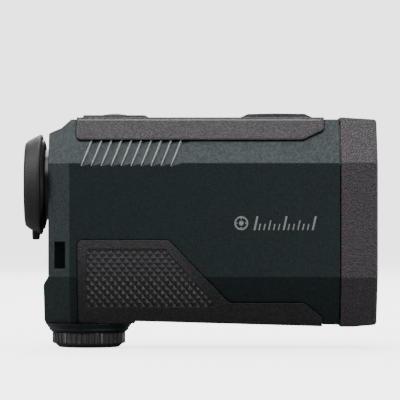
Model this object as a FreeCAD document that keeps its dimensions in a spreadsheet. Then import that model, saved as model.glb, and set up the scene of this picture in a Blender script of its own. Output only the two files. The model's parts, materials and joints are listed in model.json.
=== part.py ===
import FreeCAD, Part
import os
import re
import Sketcher
from FreeCAD import Placement, Rotation, Vector

# A hand-held laser rangefinder, in millimetres.
# +X points forward (objective end), +Y to the user's left, +Z up.
# The origin is under the middle of the body, on the plane of the battery cap's underside.

sizes = {
    # the whole object
    "overall_length": 110,
    "overall_width": 42,
    "overall_height": 73.3,
    # moulded housing, an octagonal section with a chamfered rear end
    "wall": 1.5,
    "seam": 0.2,
    "crown_height": 1.95,
    "facet_inset": 8.4,
    "upper_facet_height": 13.75,
    "lower_edge_height": 22.4,
    "bottom_front_height": 7.3,
    "bottom_rear_height": 9.1,
    "eyepiece_reach": 7.8,
    "chamfer_length": 6.9,
    "chamfer_inset": 6.0,
    "step_reach": 1.6,
    "step_low_height": 19.9,
    "boss_height": 7.6,
    "edge_round": 0.5,
    # slanted vent-like louvers on the upper facets
    "louver_pitch": 3.08,
    "louver_lean": 20.7,
    "louver_depth": 0.55,
    # strap slot through the right rear corner
    "strap_slot_height": 8.4,
    "strap_slot_length": 3.4,
    "strap_slot_foot": 24.9,
    "strap_post": 2.1,
    "strap_tunnel": 2.5,
    # rubber armour
    "armour_proud": 0.6,
    "armour_depth": 0.7,
    "armour_gap": 0.2,
    "armour_corner": 1.5,
    "skirt_drop": 6.45,
    "grip_top_height": 33.8,
    "grip_low_height": 14.2,
    "panel_depth": 0.45,
    "panel_margin": 2.7,
    "hump_half_width": 8.2,
    # front bezel, frame and plate
    "bezel_length": 11.3,
    "bezel_gap": 0.45,
    "bezel_draw": 0.75,
    "bezel_round": 1.2,
    "plate_recess": 2.5,
    "plate_thickness": 2.0,
    "frame_fit": 0.25,
    "frame_wall": 1.4,
    "frame_tongue": 4.5,
    # objective
    "eye_axis_depth": 20.25,
    "objective_radius": 11.4,
    "objective_thickness": 3.9,
    "objective_wall": 1.2,
    # receiver
    "receiver_height": 24.5,
    "receiver_radius": 9.65,
    "receiver_wall": 0.7,
    "detector_radius": 4.1,
    # prisms and display
    "prism_front": 12.4,
    "prism_length": 27.2,
    "prism_half_width": 9.6,
    "prism_half_height": 10.8,
    "holder_wall": 1.4,
    "display_thickness": 1.6,
    # laser emitter
    "laser_radius": 2.85,
    # eyepiece
    "neck_radius": 11.1,
    "cell_radius": 9.05,
    "eye_lens_radius": 7.9,
    "eyecup_radius": 15.8,
    "focus_travel": 1.31,
    "focus_lead": 6.288,
    "pin_radius": 0.9,
    # battery, its tube and the screw cap
    "cap_setback": 12.2,
    "battery_radius": 7.8,
    "battery_length": 27,
    "battery_fit": 0.3,
    "tube_wall": 0.9,
    "cap_radius": 11.3,
    "cap_height": 4.6,
    "cap_spigot": 5.0,
    "cap_wall": 1.5,
    "collar_radius": 12.8,
    # buttons
    "power_radius": 5.4,
    "power_travel": 0.8,
    "mode_radius": 4.1,
    "mode_travel": 0.6,
    # circuit boards
    "board_thickness": 1.2,
    "board_standoff": 3.2,
    # fits and fasteners
    "fit": 0.15,
    "screw_radius": 1.0,
    "small_screw_radius": 0.75,
}

# Places that several pieces share, worked out from the sizes.
nose = "(overall_length / 2)"
tail = "(-overall_length / 2)"
half_width = "(overall_width / 2 - armour_proud)"
body_front = "(overall_length / 2 - bezel_length - bezel_gap)"
body_rear = "(eyepiece_reach - overall_length / 2)"
top = "(overall_height - crown_height)"
upper_edge = f"({top} - upper_facet_height)"
skirt = f"({top} - skirt_drop)"
eye_axis = f"({top} - eye_axis_depth)"
cap_axis = f"({body_rear} + cap_setback)"
upper_lean = "atan(facet_inset / upper_facet_height)"
lower_lean = "atan(facet_inset / (lower_edge_height - bottom_front_height))"
armour_rear = f"({body_rear} + 8.8)"
armour_front = f"({body_front} - 4.65)"
grip_rear = f"({body_rear} + 9.4)"
grip_front = f"({body_front} - 5.25)"
plate_front = f"({nose} - plate_recess)"
plate_back = f"({plate_front} - plate_thickness)"
power_place = f"({body_front} - 19.3)"
mode_place = f"({body_rear} + 20.4)"
button_floor = f"({top} - wall - fit - 0.7)"
switch_floor = f"({top} - 5.15)"
board_face = f"({half_width} - wall - board_standoff)"
bore_radius = "(battery_radius + battery_fit)"
spigot_radius = f"({bore_radius} + cap_wall)"
tube_floor = "(cap_height + cap_spigot + 0.9)"
cell_rear = f"({tail} + 3.2)"
pin_place = f"({tail} + 4.4)"
ring_bore = "(neck_radius + fit)"
tube_radius = f"({bore_radius} + tube_wall)"
cell_floor = "8.2"
tube_top = f"({cell_floor} + battery_length + 0.8)"
# The ring, its groove and the cup share the wall between neck and cup rim; a step is a 47th of it.
cup_step = "(eyecup_radius - neck_radius) / 47"
sleeve_radius = f"(neck_radius + 19 * {cup_step})"

doc = FreeCAD.newDocument("Rangefinder")
sheet = doc.addObject("Spreadsheet::Sheet", "Size")
for row, (alias, number) in enumerate(sizes.items(), start=1):
    sheet.set(f"A{row}", alias)
    sheet.set(f"B{row}", str(number))
    sheet.setAlias(f"B{row}", alias)
doc.recompute()

planes = {"X": "YZ_Plane", "Y": "XZ_Plane", "Z": "XY_Plane"}
kept = []


def bind(thing, path, text):
    """Tie a property to the sizes named in text."""
    def in_sheet(word):
        return f"Size.{word[0]}" if word[0] in sizes else word[0]
    thing.setExpression(path, re.sub(r"[a-z_]+", in_sheet, text))


def keep(thing):
    """Mark a finished sub-part, whose label becomes its file name."""
    kept.append(thing)
    return thing


def origin_feature(body, role):
    return next(feature for feature in body.Origin.OriginFeatures if feature.Role == role)


def sketch_polygon(body, axis, points, offset):
    """Closed polygon on the body's own plane across axis, every corner tied to the sizes."""
    sketch = body.newObject("Sketcher::SketchObject", f"{body.Name}_sketch")
    sketch.AttachmentSupport = [(origin_feature(body, planes[axis]), "")]
    sketch.MapMode = "FlatFace"
    bind(sketch, "AttachmentOffset.Base.z", offset)
    count = len(points)
    rough = [Rotation(Vector(0, 0, 1), 360 * i / count).multVec(Vector(20, 0, 0)) for i in range(count)]
    for i in range(count):
        sketch.addGeometry(Part.LineSegment(rough[i], rough[(i + 1) % count]), False)
    for i in range(count):
        sketch.addConstraint(Sketcher.Constraint("Coincident", i, 2, (i + 1) % count, 1))
    for i, (across, up) in enumerate(points):
        for kind, start, text in (("DistanceX", rough[i].x, across), ("DistanceY", rough[i].y, up)):
            index = sketch.addConstraint(Sketcher.Constraint(kind, -1, 1, i, 1, start))
            bind(sketch, f"Constraints[{index}]", text)
    return sketch


def parallel_edges(shape, direction):
    """Names of the straight edges that run along direction."""
    names = []
    for number, edge in enumerate(shape.Edges, start=1):
        if edge.Curve.TypeId == "Part::GeomLine" and abs(edge.Curve.Direction.dot(direction)) > 0.999:
            names.append(f"Edge{number}")
    return names


def prism(name, axis, points, start, end, slant=None, corner=None):
    """Polygon padded along axis from start to end, with rounded corners if corner is given."""
    body = doc.addObject("PartDesign::Body", name)
    offset = f"-({end})" if axis == "Y" else start
    profile = sketch_polygon(body, axis, points, offset)
    pad = body.newObject("PartDesign::Pad", f"{name}_pad")
    pad.Profile = profile
    bind(pad, "Length", f"({end}) - ({start})")
    if slant:
        pad.UseCustomVector = True
        pad.AlongSketchNormal = True
        for letter, text in zip("xyz", slant):
            bind(pad, f"Direction.{letter}", text)
    if corner:
        doc.recompute()
        fillet = body.newObject("PartDesign::Fillet", f"{name}_corners")
        direction = Vector(axis == "X", axis == "Y", axis == "Z")
        fillet.Base = (pad, parallel_edges(pad.Shape, direction))
        bind(fillet, "Radius", corner)
    return body


def turned(name, axis, points, centre):
    """Section turned about axis: (x, radius) pairs about X or (radius, z) pairs about Z."""
    body = doc.addObject("PartDesign::Body", name)
    profile = sketch_polygon(body, "Y", points, "0")
    revolution = body.newObject("PartDesign::Revolution", f"{name}_turn")
    revolution.Profile = profile
    revolution.ReferenceAxis = (profile, ["H_Axis" if axis == "X" else "V_Axis"])
    revolution.Angle = 360
    bind(body, "Placement.Base.z" if axis == "X" else "Placement.Base.x", centre)
    return body


def block(name, x_range, y_range, z_range):
    """Box between two places along each axis."""
    box = doc.addObject("Part::Box", name)
    for side, letter, (low, high) in zip(("Length", "Width", "Height"), "xyz", (x_range, y_range, z_range)):
        bind(box, side, f"({high}) - ({low})")
        bind(box, f"Placement.Base.{letter}", low)
    return box


def rod(name, axis, centre, radius, start, end):
    """Cylinder along axis from start to end, about centre in the other two directions."""
    cylinder = doc.addObject("Part::Cylinder", name)
    turn = {"X": Rotation(Vector(0, 1, 0), 90), "Y": Rotation(Vector(1, 0, 0), -90), "Z": Rotation()}[axis]
    cylinder.Placement = Placement(Vector(), turn)
    bind(cylinder, "Radius", radius)
    bind(cylinder, "Height", f"({end}) - ({start})")
    places = dict(zip("xyz".replace(axis.lower(), ""), centre))
    places[axis.lower()] = start
    for letter, text in places.items():
        bind(cylinder, f"Placement.Base.{letter}", text)
    return cylinder


def fuse(name, *shapes):
    union = doc.addObject("Part::MultiFuse", name)
    union.Shapes = list(shapes)
    return union


def common(name, *shapes):
    overlap = doc.addObject("Part::MultiCommon", name)
    overlap.Shapes = list(shapes)
    return overlap


def cut(name, base, *tools):
    """Base with every tool taken away."""
    result = doc.addObject("Part::Cut", name)
    result.Base = base
    result.Tool = tools[0] if len(tools) == 1 else fuse(f"{name}_tools", *tools)
    return result


def group(name, *shapes):
    """Separate solids that share one node."""
    compound = doc.addObject("Part::Compound", name)
    compound.Links = list(shapes)
    return compound


def lens(name, centre, radius, back, thickness, back_bulge, front_bulge):
    """Disc along X whose two faces are spheres that bulge by the given heights."""
    disc = rod(f"{name}_disc", "X", ("0", centre), radius, back, f"{back} + {thickness}")
    shapes = [disc]
    for side, bulge in (("back", back_bulge), ("front", front_bulge)):
        ball = doc.addObject("Part::Sphere", f"{name}_{side}")
        curve = f"((({radius}) ^ 2 + ({bulge}) ^ 2) / (2 * ({bulge})))"
        bind(ball, "Radius", curve)
        middle = f"{back} + {curve}" if side == "back" else f"{back} + {thickness} - {curve}"
        bind(ball, "Placement.Base.x", middle)
        bind(ball, "Placement.Base.z", centre)
        shapes.append(ball)
    return common(name, *shapes)


# ---- the hull that the housing, its cavity and the armour all share

def half_section(side, grow, narrow, inner):
    """Half of the octagon, moved out by grow and drawn in by narrow, closed at the inner plane."""
    sides = {
        "top": f"{half_width} - facet_inset + ({grow}) * tan(45 deg - {upper_lean} / 2) - ({narrow})",
        "side": f"{half_width} + ({grow}) - ({narrow})",
        "bottom": f"{half_width} - facet_inset + ({grow}) * tan(45 deg - {lower_lean} / 2) - ({narrow})",
    }
    top_z = f"{top} + ({grow})"
    bottom_z = f"bottom_front_height - ({grow})"
    return [
        (f"{side} * ({inner})", top_z),
        (f"{side} * ({sides['top']})", top_z),
        (f"{side} * ({sides['side']})", f"{upper_edge} + ({grow}) * tan({upper_lean} / 2)"),
        (f"{side} * ({sides['side']})", f"lower_edge_height - ({grow}) * tan({lower_lean} / 2)"),
        (f"{side} * ({sides['bottom']})", bottom_z),
        (f"{side} * ({inner})", bottom_z),
    ]


def full_section(grow):
    """The whole octagon, moved out by grow."""
    right = half_section(-1, grow, "0", "0")[1:5]
    left = half_section(1, grow, "0", "0")[1:5]
    return right + left[::-1]


def silhouette(name, grow, start, end):
    """Side outline of the housing, moved out by grow and padded across the width."""
    points = [
        (f"{body_rear} - ({grow})", "lower_edge_height"),
        (f"{body_rear} - ({grow})", f"{top} - 4.4 + ({grow})"),
        (f"{body_rear} + 0.9", f"{top} - 3.95 + ({grow})"),
        (f"{body_rear} + 4.1", f"{top} - 2.65 + ({grow})"),
        (f"{body_rear} + 7.1", f"{top} + ({grow})"),
        (body_front, f"{top} + ({grow})"),
        (body_front, f"bottom_front_height - ({grow})"),
        (f"{cap_axis} + 15", f"bottom_rear_height - ({grow})"),
        (f"{cap_axis} + 14", f"boss_height - ({grow})"),
        (f"{body_rear} - step_reach + 0.6 - ({grow})", f"boss_height - ({grow})"),
        (f"{body_rear} - step_reach - ({grow})", f"boss_height + 0.8 - ({grow})"),
        (f"{body_rear} - step_reach - ({grow})", "step_low_height"),
    ]
    return prism(name, "Y", points, start, end)


def chamfer_start(grow):
    """Where the straight body ends and the rear chamfer begins."""
    return f"({body_rear} + chamfer_length - ({grow}) * tan(atan(chamfer_inset / chamfer_length) / 2))"


def half_hull(name, side, grow, clip):
    """One half of the body's outside moved out by grow, from the rear step to the front edge."""
    rear_end = f"({body_rear} - step_reach - 2)"
    narrow = f"({chamfer_start(grow)} - {rear_end}) * chamfer_inset / chamfer_length"
    straight = prism(f"{name}_straight", "X", half_section(side, grow, "0", "-5"),
                     chamfer_start(grow), f"{body_front} + 1")
    tapered = prism(f"{name}_tapered", "X", half_section(side, grow, narrow, "-20"),
                    rear_end, chamfer_start(grow), slant=("chamfer_length", f"{side} * chamfer_inset", "0"))
    far = f"{side} * overall_width"
    near = f"{side} * ({clip})"
    across = (near, far) if side > 0 else (far, near)
    outline = silhouette(f"{name}_outline", grow, *across)
    both = fuse(f"{name}_both", straight, tapered)
    return common(name, both, outline)


hulls = {}


def full_hull(grow):
    """The straight part of the body over its full width, moved out by grow."""
    if grow not in hulls:
        name = f"hull_{len(hulls)}"
        straight = prism(f"{name}_straight", "X", full_section(grow), chamfer_start("0"), body_front)
        outline = silhouette(f"{name}_outline", grow, "-overall_width", "overall_width")
        hulls[grow] = common(name, straight, outline)
    return hulls[grow]


def band(name, outer, inner, outline):
    """The layer of the hull between two offsets, inside a side outline."""
    return cut(name, common(f"{name}_outer", full_hull(outer), outline), full_hull(inner))


# ---- armour outlines, also used with a gap for the recesses that they lie in

def top_outline(name, gap):
    points = [
        (f"{armour_rear} - ({gap})", f"{skirt} - ({gap})"),
        (f"{armour_front} - 6.7", f"{skirt} - ({gap})"),
        (f"{armour_front} + ({gap})", f"{skirt} + 3.15 - ({gap})"),
        (f"{armour_front} + ({gap})", f"{top} + 6"),
        (f"{armour_rear} - ({gap})", f"{top} + 6"),
    ]
    return prism(name, "Y", points, "-overall_width", "overall_width", corner=f"armour_corner + ({gap})")


def grip_outline(name, gap):
    points = [
        (f"{grip_rear} - ({gap})", f"boss_height + 0.2 - ({gap})"),
        (f"{grip_rear} - ({gap})", f"grip_top_height + ({gap})"),
        (f"{body_rear} + 37.5 + ({gap}) * 0.45", f"grip_top_height + ({gap})"),
        (f"{body_rear} + 56.3 + ({gap}) * 0.45", f"grip_low_height + ({gap})"),
        (f"{grip_front} - 5.7 + ({gap}) * 0.4", f"grip_low_height + ({gap})"),
        (f"{grip_front} + ({gap})", f"grip_low_height - 4.5 + ({gap}) * 0.4"),
        (f"{grip_front} + ({gap})", "-3"),
        (f"{cap_axis} + 15.6", "-3"),
        (f"{cap_axis} + 15.6", f"boss_height + 0.2 - ({gap})"),
    ]
    return prism(name, "Y", points, "-overall_width", "overall_width", corner=f"armour_corner + ({gap})")


def panel_outline(name):
    """Outline of the sunk diamond-textured panel on each side of the grip."""
    points = [
        (f"{grip_rear} + panel_margin", "grip_low_height - 1.2"),
        (f"{grip_rear} + panel_margin", "grip_top_height - panel_margin"),
        (f"{body_rear} + 36.3", "grip_top_height - panel_margin"),
        (f"{body_rear} + 52.6", "grip_low_height - 1.2"),
    ]
    return prism(name, "Y", points, "-overall_width", "overall_width", corner="1.1")


def collar_clearance(name, gap):
    """Round space under the boss that the grip armour leaves free for the battery collar."""
    return rod(name, "Z", (cap_axis, "0"), f"collar_radius + 0.1 + ({gap})", "-1", "boss_height + 1.6")


def armour_recess(name, outline):
    """Pocket in the housing that one armour piece lies in, open to the outside."""
    return band(name, "3", "-armour_depth", outline)


def top_armour():
    layer = band("top_layer", "armour_proud", "-armour_depth", top_outline("top_armour_outline", "0"))
    plateau = f"{top} + 1.4"
    rear_hump = prism("rear_hump", "Y", [
        (f"{armour_rear} + 1.3", f"{top} + 0.2"),
        (f"{armour_rear} + 2.1", plateau),
        (f"{armour_rear} + 21.2", plateau),
        (f"{armour_rear} + 23.1", f"{top} + 0.2"),
    ], "-hump_half_width", "hump_half_width")
    front_hump = prism("front_hump", "Y", [
        (f"{armour_front} - 27.1", f"{top} + 0.2"),
        (f"{armour_front} - 23.6", f"{top} + 1.75"),
        (f"{armour_front} - 15", f"{top} + 1.93"),
        (f"{armour_front} - 5.9", f"{top} + 1.8"),
        (f"{armour_front} - 2.4", f"{top} + 0.2"),
    ], "-hump_half_width - 0.3", "hump_half_width + 0.3")
    raised = fuse("top_armour_raised", layer, rear_hump, front_hump)
    dish = turned("power_dish", "Z", [
        ("0", f"{top} + 0.75"), ("power_radius + 0.9", f"{top} + 0.75"),
        ("power_radius + 1.9", f"{top} + 2.4"), ("0", f"{top} + 2.4"),
    ], power_place)
    keep(cut("top_armour", raised, dish, *button_holes("armour", "0.05")))


def grip_armour():
    layer = band("grip_layer", "armour_proud", "-armour_depth", grip_outline("grip_armour_outline", "0"))
    panel = band("grip_panel", "3", "armour_proud - panel_depth", panel_outline("grip_panel_outline"))
    keep(cut("grip_armour", layer, panel, collar_clearance("grip_clearance", "0")))


def button_holes(name, extra):
    """Round holes for the two buttons, through everything near the top."""
    holes = []
    for label, place, radius in (("power", power_place, "power_radius"), ("mode", mode_place, "mode_radius")):
        holes.append(rod(f"{name}_{label}_hole", "Z", (place, "0"), f"{radius} + fit + {extra}",
                         f"{top} - 6", f"{top} + 6"))
    return holes


# ---- the two moulded shells

shell_screw_places = {
    "rear_middle": (f"{body_rear} + 24.7", f"{eye_axis} - 12.9", f"{half_width} - 2.2"),
    "rear_low": (f"{body_rear} + 24.7", "lower_edge_height - 6.9", f"{half_width} - 7.4"),
    "front_middle": (f"{body_front} - 14.75", f"{eye_axis} - 15.5", f"{half_width} - 2.2"),
    "front_high": (f"{body_front} - 9.75", f"{top} - 4.55", f"{half_width} - 9.6"),
}
board_screw_places = {
    "rear_high": ("-15.5", f"{eye_axis} + 3.9"),
    "front_high": ("20.5", f"{eye_axis} + 3.9"),
    "rear_low": ("-15.5", "lower_edge_height"),
    "front_low": ("20.5", "lower_edge_height"),
}
switch_screw_places = {"rear": "-14", "front": "8"}


def louver_cutter(side):
    """Saw-toothed bar sunk in the upper facet: each tooth is deepest at its rear line."""
    foot = f"({upper_edge} - 3.6)"
    reach = f"({half_width} + 3.6 * tan({upper_lean}))"
    depth = f"(louver_depth / cos({upper_lean}))"
    first = f"({body_rear} + 9.45)"
    count = 10
    points = [(first, f"{side} * ({reach} + 4)")]
    for tooth in range(count):
        points.append((f"{first} + {tooth} * louver_pitch", f"{side} * ({reach} - {depth})"))
        points.append((f"{first} + {tooth + 1} * louver_pitch", f"{side} * {reach}"))
    points.append((f"{first} + {count} * louver_pitch", f"{side} * ({reach} + 4)"))
    slant = ("tan(louver_lean * 1 deg)", f"{-side} * tan({upper_lean})", "1")
    return prism(f"louvers_{side + 1}", "Z", points, foot, f"{skirt} + 0.3", slant=slant)


def shell_bosses(side):
    """Posts inside the shell that take the screws joining the two halves."""
    posts = []
    for label, (x, z, head) in shell_screw_places.items():
        near = "seam / 2"
        span = (near, half_width) if side > 0 else (f"-{half_width}", f"-{near}")
        posts.append(rod(f"post_{label}_{side + 1}", "Y", (x, z), "screw_radius + 1.35", *span))
    return posts


def shell_screw_holes(side):
    """Clearance and counterbore in the left shell, a blind pilot hole in the right one."""
    holes = []
    for label, (x, z, head) in shell_screw_places.items():
        if side > 0:
            holes.append(rod(f"hole_{label}", "Y", (x, z), "screw_radius + fit", "-1", head))
            holes.append(rod(f"bore_{label}", "Y", (x, z), "screw_radius + 1.1", head, "overall_width"))
        else:
            holes.append(rod(f"pilot_{label}", "Y", (x, z), "screw_radius + 0.05", "-8", "1"))
    return holes


def left_shell_posts():
    """Posts for the main board's screws and, under the roof, for the switch board's."""
    posts = []
    for label, (x, z) in board_screw_places.items():
        posts.append(rod(f"board_post_{label}", "Y", (x, z), "small_screw_radius + 1.3", board_face, half_width))
    for label, x in switch_screw_places.items():
        posts.append(rod(f"switch_post_{label}", "Z", (x, "4.6"), "small_screw_radius + 1.3",
                         f"{switch_floor}", f"{top} - 1"))
    return posts


def left_shell_post_holes():
    holes = []
    for label, (x, z) in board_screw_places.items():
        holes.append(rod(f"board_hole_{label}", "Y", (x, z), "small_screw_radius + 0.05",
                         f"{board_face} - 1", f"{board_face} + 2.6"))
    for label, x in switch_screw_places.items():
        holes.append(rod(f"switch_hole_{label}", "Z", (x, "4.6"), "small_screw_radius + 0.05",
                         f"{switch_floor} - 1", f"{switch_floor} + 2.9"))
    return holes


def strap_block():
    """Solid corner inside the right shell that the strap slot is cut through."""
    return block("strap_block", (body_rear, f"{body_rear} + 7.4"), ("-overall_width / 2", "-8.8"),
                 ("strap_slot_foot - wall", "strap_slot_foot + strap_slot_height + wall"))


def strap_passage():
    """L-shaped passage: in through the chamfer, out through the rear face, round a corner post."""
    height = ("strap_slot_foot", "strap_slot_foot + strap_slot_height")
    inner = f"-({half_width} - chamfer_inset - 3.9)"
    into_chamfer = block("strap_in", (f"{body_rear} + strap_post", f"{body_rear} + strap_post + strap_slot_length"),
                         ("-overall_width / 2", inner), height)
    out_of_rear = block("strap_out", (f"{body_rear} - 2", f"{body_rear} + strap_post + 1"),
                        (f"{inner} - strap_tunnel", inner), height)
    return [into_chamfer, out_of_rear]


def rounded_hull(name, hull, side):
    """The hull with its outside edges softened; the seam and the front edge stay sharp."""
    doc.recompute()
    seam_plane = side * sizes["seam"] / 2
    front_plane = hull.Shape.BoundBox.XMax
    edges = []
    for number, edge in enumerate(hull.Shape.Edges, start=1):
        box = edge.BoundBox
        on_seam = max(abs(box.YMin - seam_plane), abs(box.YMax - seam_plane)) < 0.01
        on_front = box.XMin > front_plane - 0.01
        if not on_seam and not on_front:
            edges.append((number, sizes["edge_round"], sizes["edge_round"]))
    fillet = doc.addObject("Part::Fillet", name)
    fillet.Base = hull
    fillet.Edges = edges
    return fillet


def shell(name, side):
    outside = rounded_hull(f"{name}_outside", half_hull(f"{name}_hull", side, "0", "seam / 2"), side)
    cavity = half_hull(f"{name}_cavity", side, "-wall", "-1")
    open_shell = cut(f"{name}_open", outside, cavity)
    extras = shell_bosses(side) + (left_shell_posts() if side > 0 else [strap_block()])
    inside = common(f"{name}_inside", fuse(f"{name}_extras", *extras), outside)
    grip_recess = armour_recess(f"{name}_grip_recess", grip_outline(f"{name}_grip_gap", "armour_gap"))
    tools = [
        armour_recess(f"{name}_top_recess", top_outline(f"{name}_top_gap", "armour_gap")),
        cut(f"{name}_grip_pocket", grip_recess, collar_clearance(f"{name}_collar_seat", "-armour_gap")),
        louver_cutter(side),
        rod(f"{name}_eyepiece_hole", "X", ("0", eye_axis), "neck_radius + fit",
            f"{body_rear} - 4", f"{body_rear} + wall + 1"),
        rod(f"{name}_collar_hole", "Z", (cap_axis, "0"), "collar_radius - 0.8 + fit", "-1", "boss_height + 4"),
    ]
    tools += button_holes(name, "0")
    tools += shell_screw_holes(side)
    tools += left_shell_post_holes() if side > 0 else strap_passage()
    keep(cut(name, fuse(f"{name}_solid", open_shell, inside), *tools))


def shell_gasket():
    """Thin seal pressed between the two shells, just inside their outer edge."""
    outer = silhouette("gasket_outer", "-0.85", "-seam / 2", "seam / 2")
    inner = silhouette("gasket_inner", "0.1 - wall", "-seam", "seam")
    front_gap = block("gasket_front", (f"{body_front} - frame_tongue", f"{body_front} + 1"), ("-2", "2"),
                      ("0", f"{top} + 1"))
    eyepiece = rod("gasket_eyepiece", "X", ("0", eye_axis), "neck_radius + fit",
                   f"{body_rear} - 4", f"{body_rear} + 4")
    collar = rod("gasket_collar", "Z", (cap_axis, "0"), "collar_radius - 0.8 + fit", "-1", "boss_height + 4")
    keep(cut("shell_gasket", outer, inner, front_gap, eyepiece, collar, *button_holes("gasket", "0")))


def socket_screw(name, axis, centre, seat, tip, radius, head_radius, head_height):
    """Screw along an axis: its head sits on seat and its shank runs to tip."""
    away = f"({head_height}) * ({tip} - ({seat})) / abs({tip} - ({seat}))"
    head_end = f"({seat}) - {away}"
    socket_floor = f"({seat}) - {away} * 0.4"
    head = ordered_rod(f"{name}_head", axis, centre, head_radius, seat, head_end)
    shank = ordered_rod(f"{name}_shank", axis, centre, radius, seat, tip)
    socket = ordered_rod(f"{name}_socket", axis, centre, f"({head_radius}) * 0.45", socket_floor, head_end)
    return cut(name, fuse(f"{name}_solid", head, shank), socket)


def ordered_rod(name, axis, centre, radius, one, other):
    """Rod between two places given in either order."""
    return rod(name, axis, centre, radius, f"min({one}; {other})", f"max({one}; {other})")


def shell_screws():
    screws = []
    for label, (x, z, head) in shell_screw_places.items():
        screws.append(socket_screw(f"shell_screw_{label}", "Y", (x, z), head, "-7", "screw_radius",
                                   "screw_radius + 0.9", "1.4"))
    keep(group("shell_screws", *screws))


# ---- front end

plate_screw_places = {
    "left_high": ("13", f"{eye_axis} + 11.4"),
    "right_high": ("-13", f"{eye_axis} + 11.4"),
    "left_low": ("13", "receiver_height - 7.5"),
    "right_low": ("-13", "receiver_height - 7.5"),
}


def front_bezel():
    """Rubber-covered frame that closes the front of both shells, drawn in towards its nose."""
    rear = f"({nose} - bezel_length)"
    blank = prism("bezel_blank", "X", full_section("armour_proud"), rear, nose)
    slope_above = prism("bezel_slope_above", "Y", [
        (f"{rear} + 0.4", f"{top} + armour_proud"), (f"{nose} + 1", f"{top} + armour_proud - bezel_draw"),
        (f"{nose} + 1", f"{top} + 5"), (f"{rear} + 0.4", f"{top} + 5"),
    ], "-overall_width", "overall_width")
    slope_below = prism("bezel_slope_below", "Y", [
        (f"{rear} + 4", "bottom_front_height - armour_proud"), (f"{rear} + 4", "0"), (f"{nose} + 1", "0"),
        (f"{nose} + 1", "bottom_front_height - armour_proud + bezel_draw"),
    ], "-overall_width", "overall_width")
    outer = cut("bezel_outer", blank, slope_above, slope_below)
    doc.recompute()
    front_edges = []
    for number, edge in enumerate(outer.Shape.Edges, start=1):
        if edge.BoundBox.XMin > outer.Shape.BoundBox.XMax - 0.01:
            front_edges.append((number, sizes["bezel_round"], sizes["bezel_round"]))
    softened = doc.addObject("Part::Fillet", "bezel_front_edge")
    softened.Base = outer
    softened.Edges = front_edges
    opening = prism("bezel_opening", "X", full_section("-wall"), f"{rear} - 1", f"{nose} + 1")
    keep(cut("front_bezel", softened, opening))


def front_frame():
    """Inner ring that plugs into the shells and carries the front plate on four lugs."""
    outside = full_section("-wall - frame_fit")
    inside = full_section("-wall - frame_fit - frame_wall")
    rear = f"({body_front} - frame_tongue)"
    outer = prism("frame_outer", "X", outside, rear, plate_back)
    inner = prism("frame_inner", "X", inside, f"{rear} - 1", f"{plate_back} + 1")
    lugs = [rod(f"lug_{label}", "X", place, "small_screw_radius + 1.65", f"{plate_back} - 6.5", plate_back)
            for label, place in plate_screw_places.items()]
    clipped = common("frame_lugs", fuse("frame_lugs_raw", *lugs), outer)
    ring = cut("frame_ring", outer, inner)
    holes = [rod(f"lug_hole_{label}", "X", place, "small_screw_radius + 0.05", f"{plate_back} - 5",
                 f"{plate_back} + 1") for label, place in plate_screw_places.items()]
    keep(cut("front_frame", fuse("frame_solid", ring, clipped), *holes))


def front_plate():
    """Recessed plate with the two apertures."""
    blank = prism("plate_blank", "X", full_section("-wall - fit"), plate_back, plate_front)
    holes = [
        rod("plate_objective_hole", "X", ("0", eye_axis), "objective_radius + objective_wall - 0.1",
            f"{plate_back} - 1", f"{plate_front} + 1"),
        rod("plate_receiver_hole", "X", ("0", "receiver_height"), "receiver_radius + receiver_wall + 0.1",
            f"{plate_back} - 1", f"{plate_front} + 1"),
    ]
    for label, place in plate_screw_places.items():
        holes.append(rod(f"plate_hole_{label}", "X", place, "small_screw_radius + fit", f"{plate_back} - 1",
                         f"{plate_front} + 1"))
        holes.append(rod(f"plate_bore_{label}", "X", place, "small_screw_radius + 1.2", f"{plate_front} - 1.1",
                         f"{plate_front} + 1"))
    keep(cut("front_plate", blank, *holes))
    screws = [socket_screw(f"plate_screw_{label}", "X", place, f"{plate_front} - 1.1", f"{plate_back} - 4",
                           "small_screw_radius", "small_screw_radius + 1", "0.9")
              for label, place in plate_screw_places.items()]
    keep(group("plate_screws", *screws))


def objective():
    """Barrel through the front plate, a two-lens objective and its threaded retainer."""
    seat = f"({plate_back} - 4.2)"
    nose_radius = "(objective_radius + objective_wall - 0.2)"
    keep(turned("objective_barrel", "X", [
        (f"{plate_front} + 0.9", "objective_radius + 0.35"),
        (f"{plate_front} + 0.9", nose_radius),
        (f"{plate_back} - 0.1", nose_radius),
        (f"{plate_back} - 0.1", "objective_radius + objective_wall + 0.4"),
        (f"{plate_back} - 6.5", "objective_radius + objective_wall + 0.4"),
        (f"{plate_back} - 6.5", "objective_radius + objective_wall"),
        ("prism_front + 1.8", "objective_radius + objective_wall"),
        ("prism_front + 1.8", "objective_radius - 0.9"),
        (f"{seat} - 4.2", "objective_radius - 0.9"),
        (f"{seat} - 4.2", "objective_radius"),
        (f"{plate_front} + 0.4", "objective_radius"),
    ], eye_axis))
    keep(lens("objective_lens", eye_axis, "(objective_radius - 0.02)", seat, "objective_thickness", "0.6", "1.1"))
    keep(turned("objective_spacer", "X", [
        (f"{seat} - 0.7", "objective_radius - 0.8"),
        (f"{seat} - 0.7", "objective_radius - 0.02"),
        (seat, "objective_radius - 0.02"),
        (seat, "objective_radius - 0.8"),
    ], eye_axis))
    keep(lens("objective_corrector", eye_axis, "(objective_radius - 0.02)", f"({seat} - 3.5)", "2.8", "0.4", "0.5"))
    keep(turned("objective_retainer", "X", [
        (f"{seat} + objective_thickness", "objective_radius - 0.9"),
        (f"{seat} + objective_thickness", "objective_radius - 0.02"),
        (f"{plate_back} + 1.2", "objective_radius - 0.02"),
        (f"{plate_back} + 1.5", "objective_radius - 0.3"),
        (f"{plate_back} + 1.5", "objective_radius - 0.6"),
    ], eye_axis))


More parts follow.
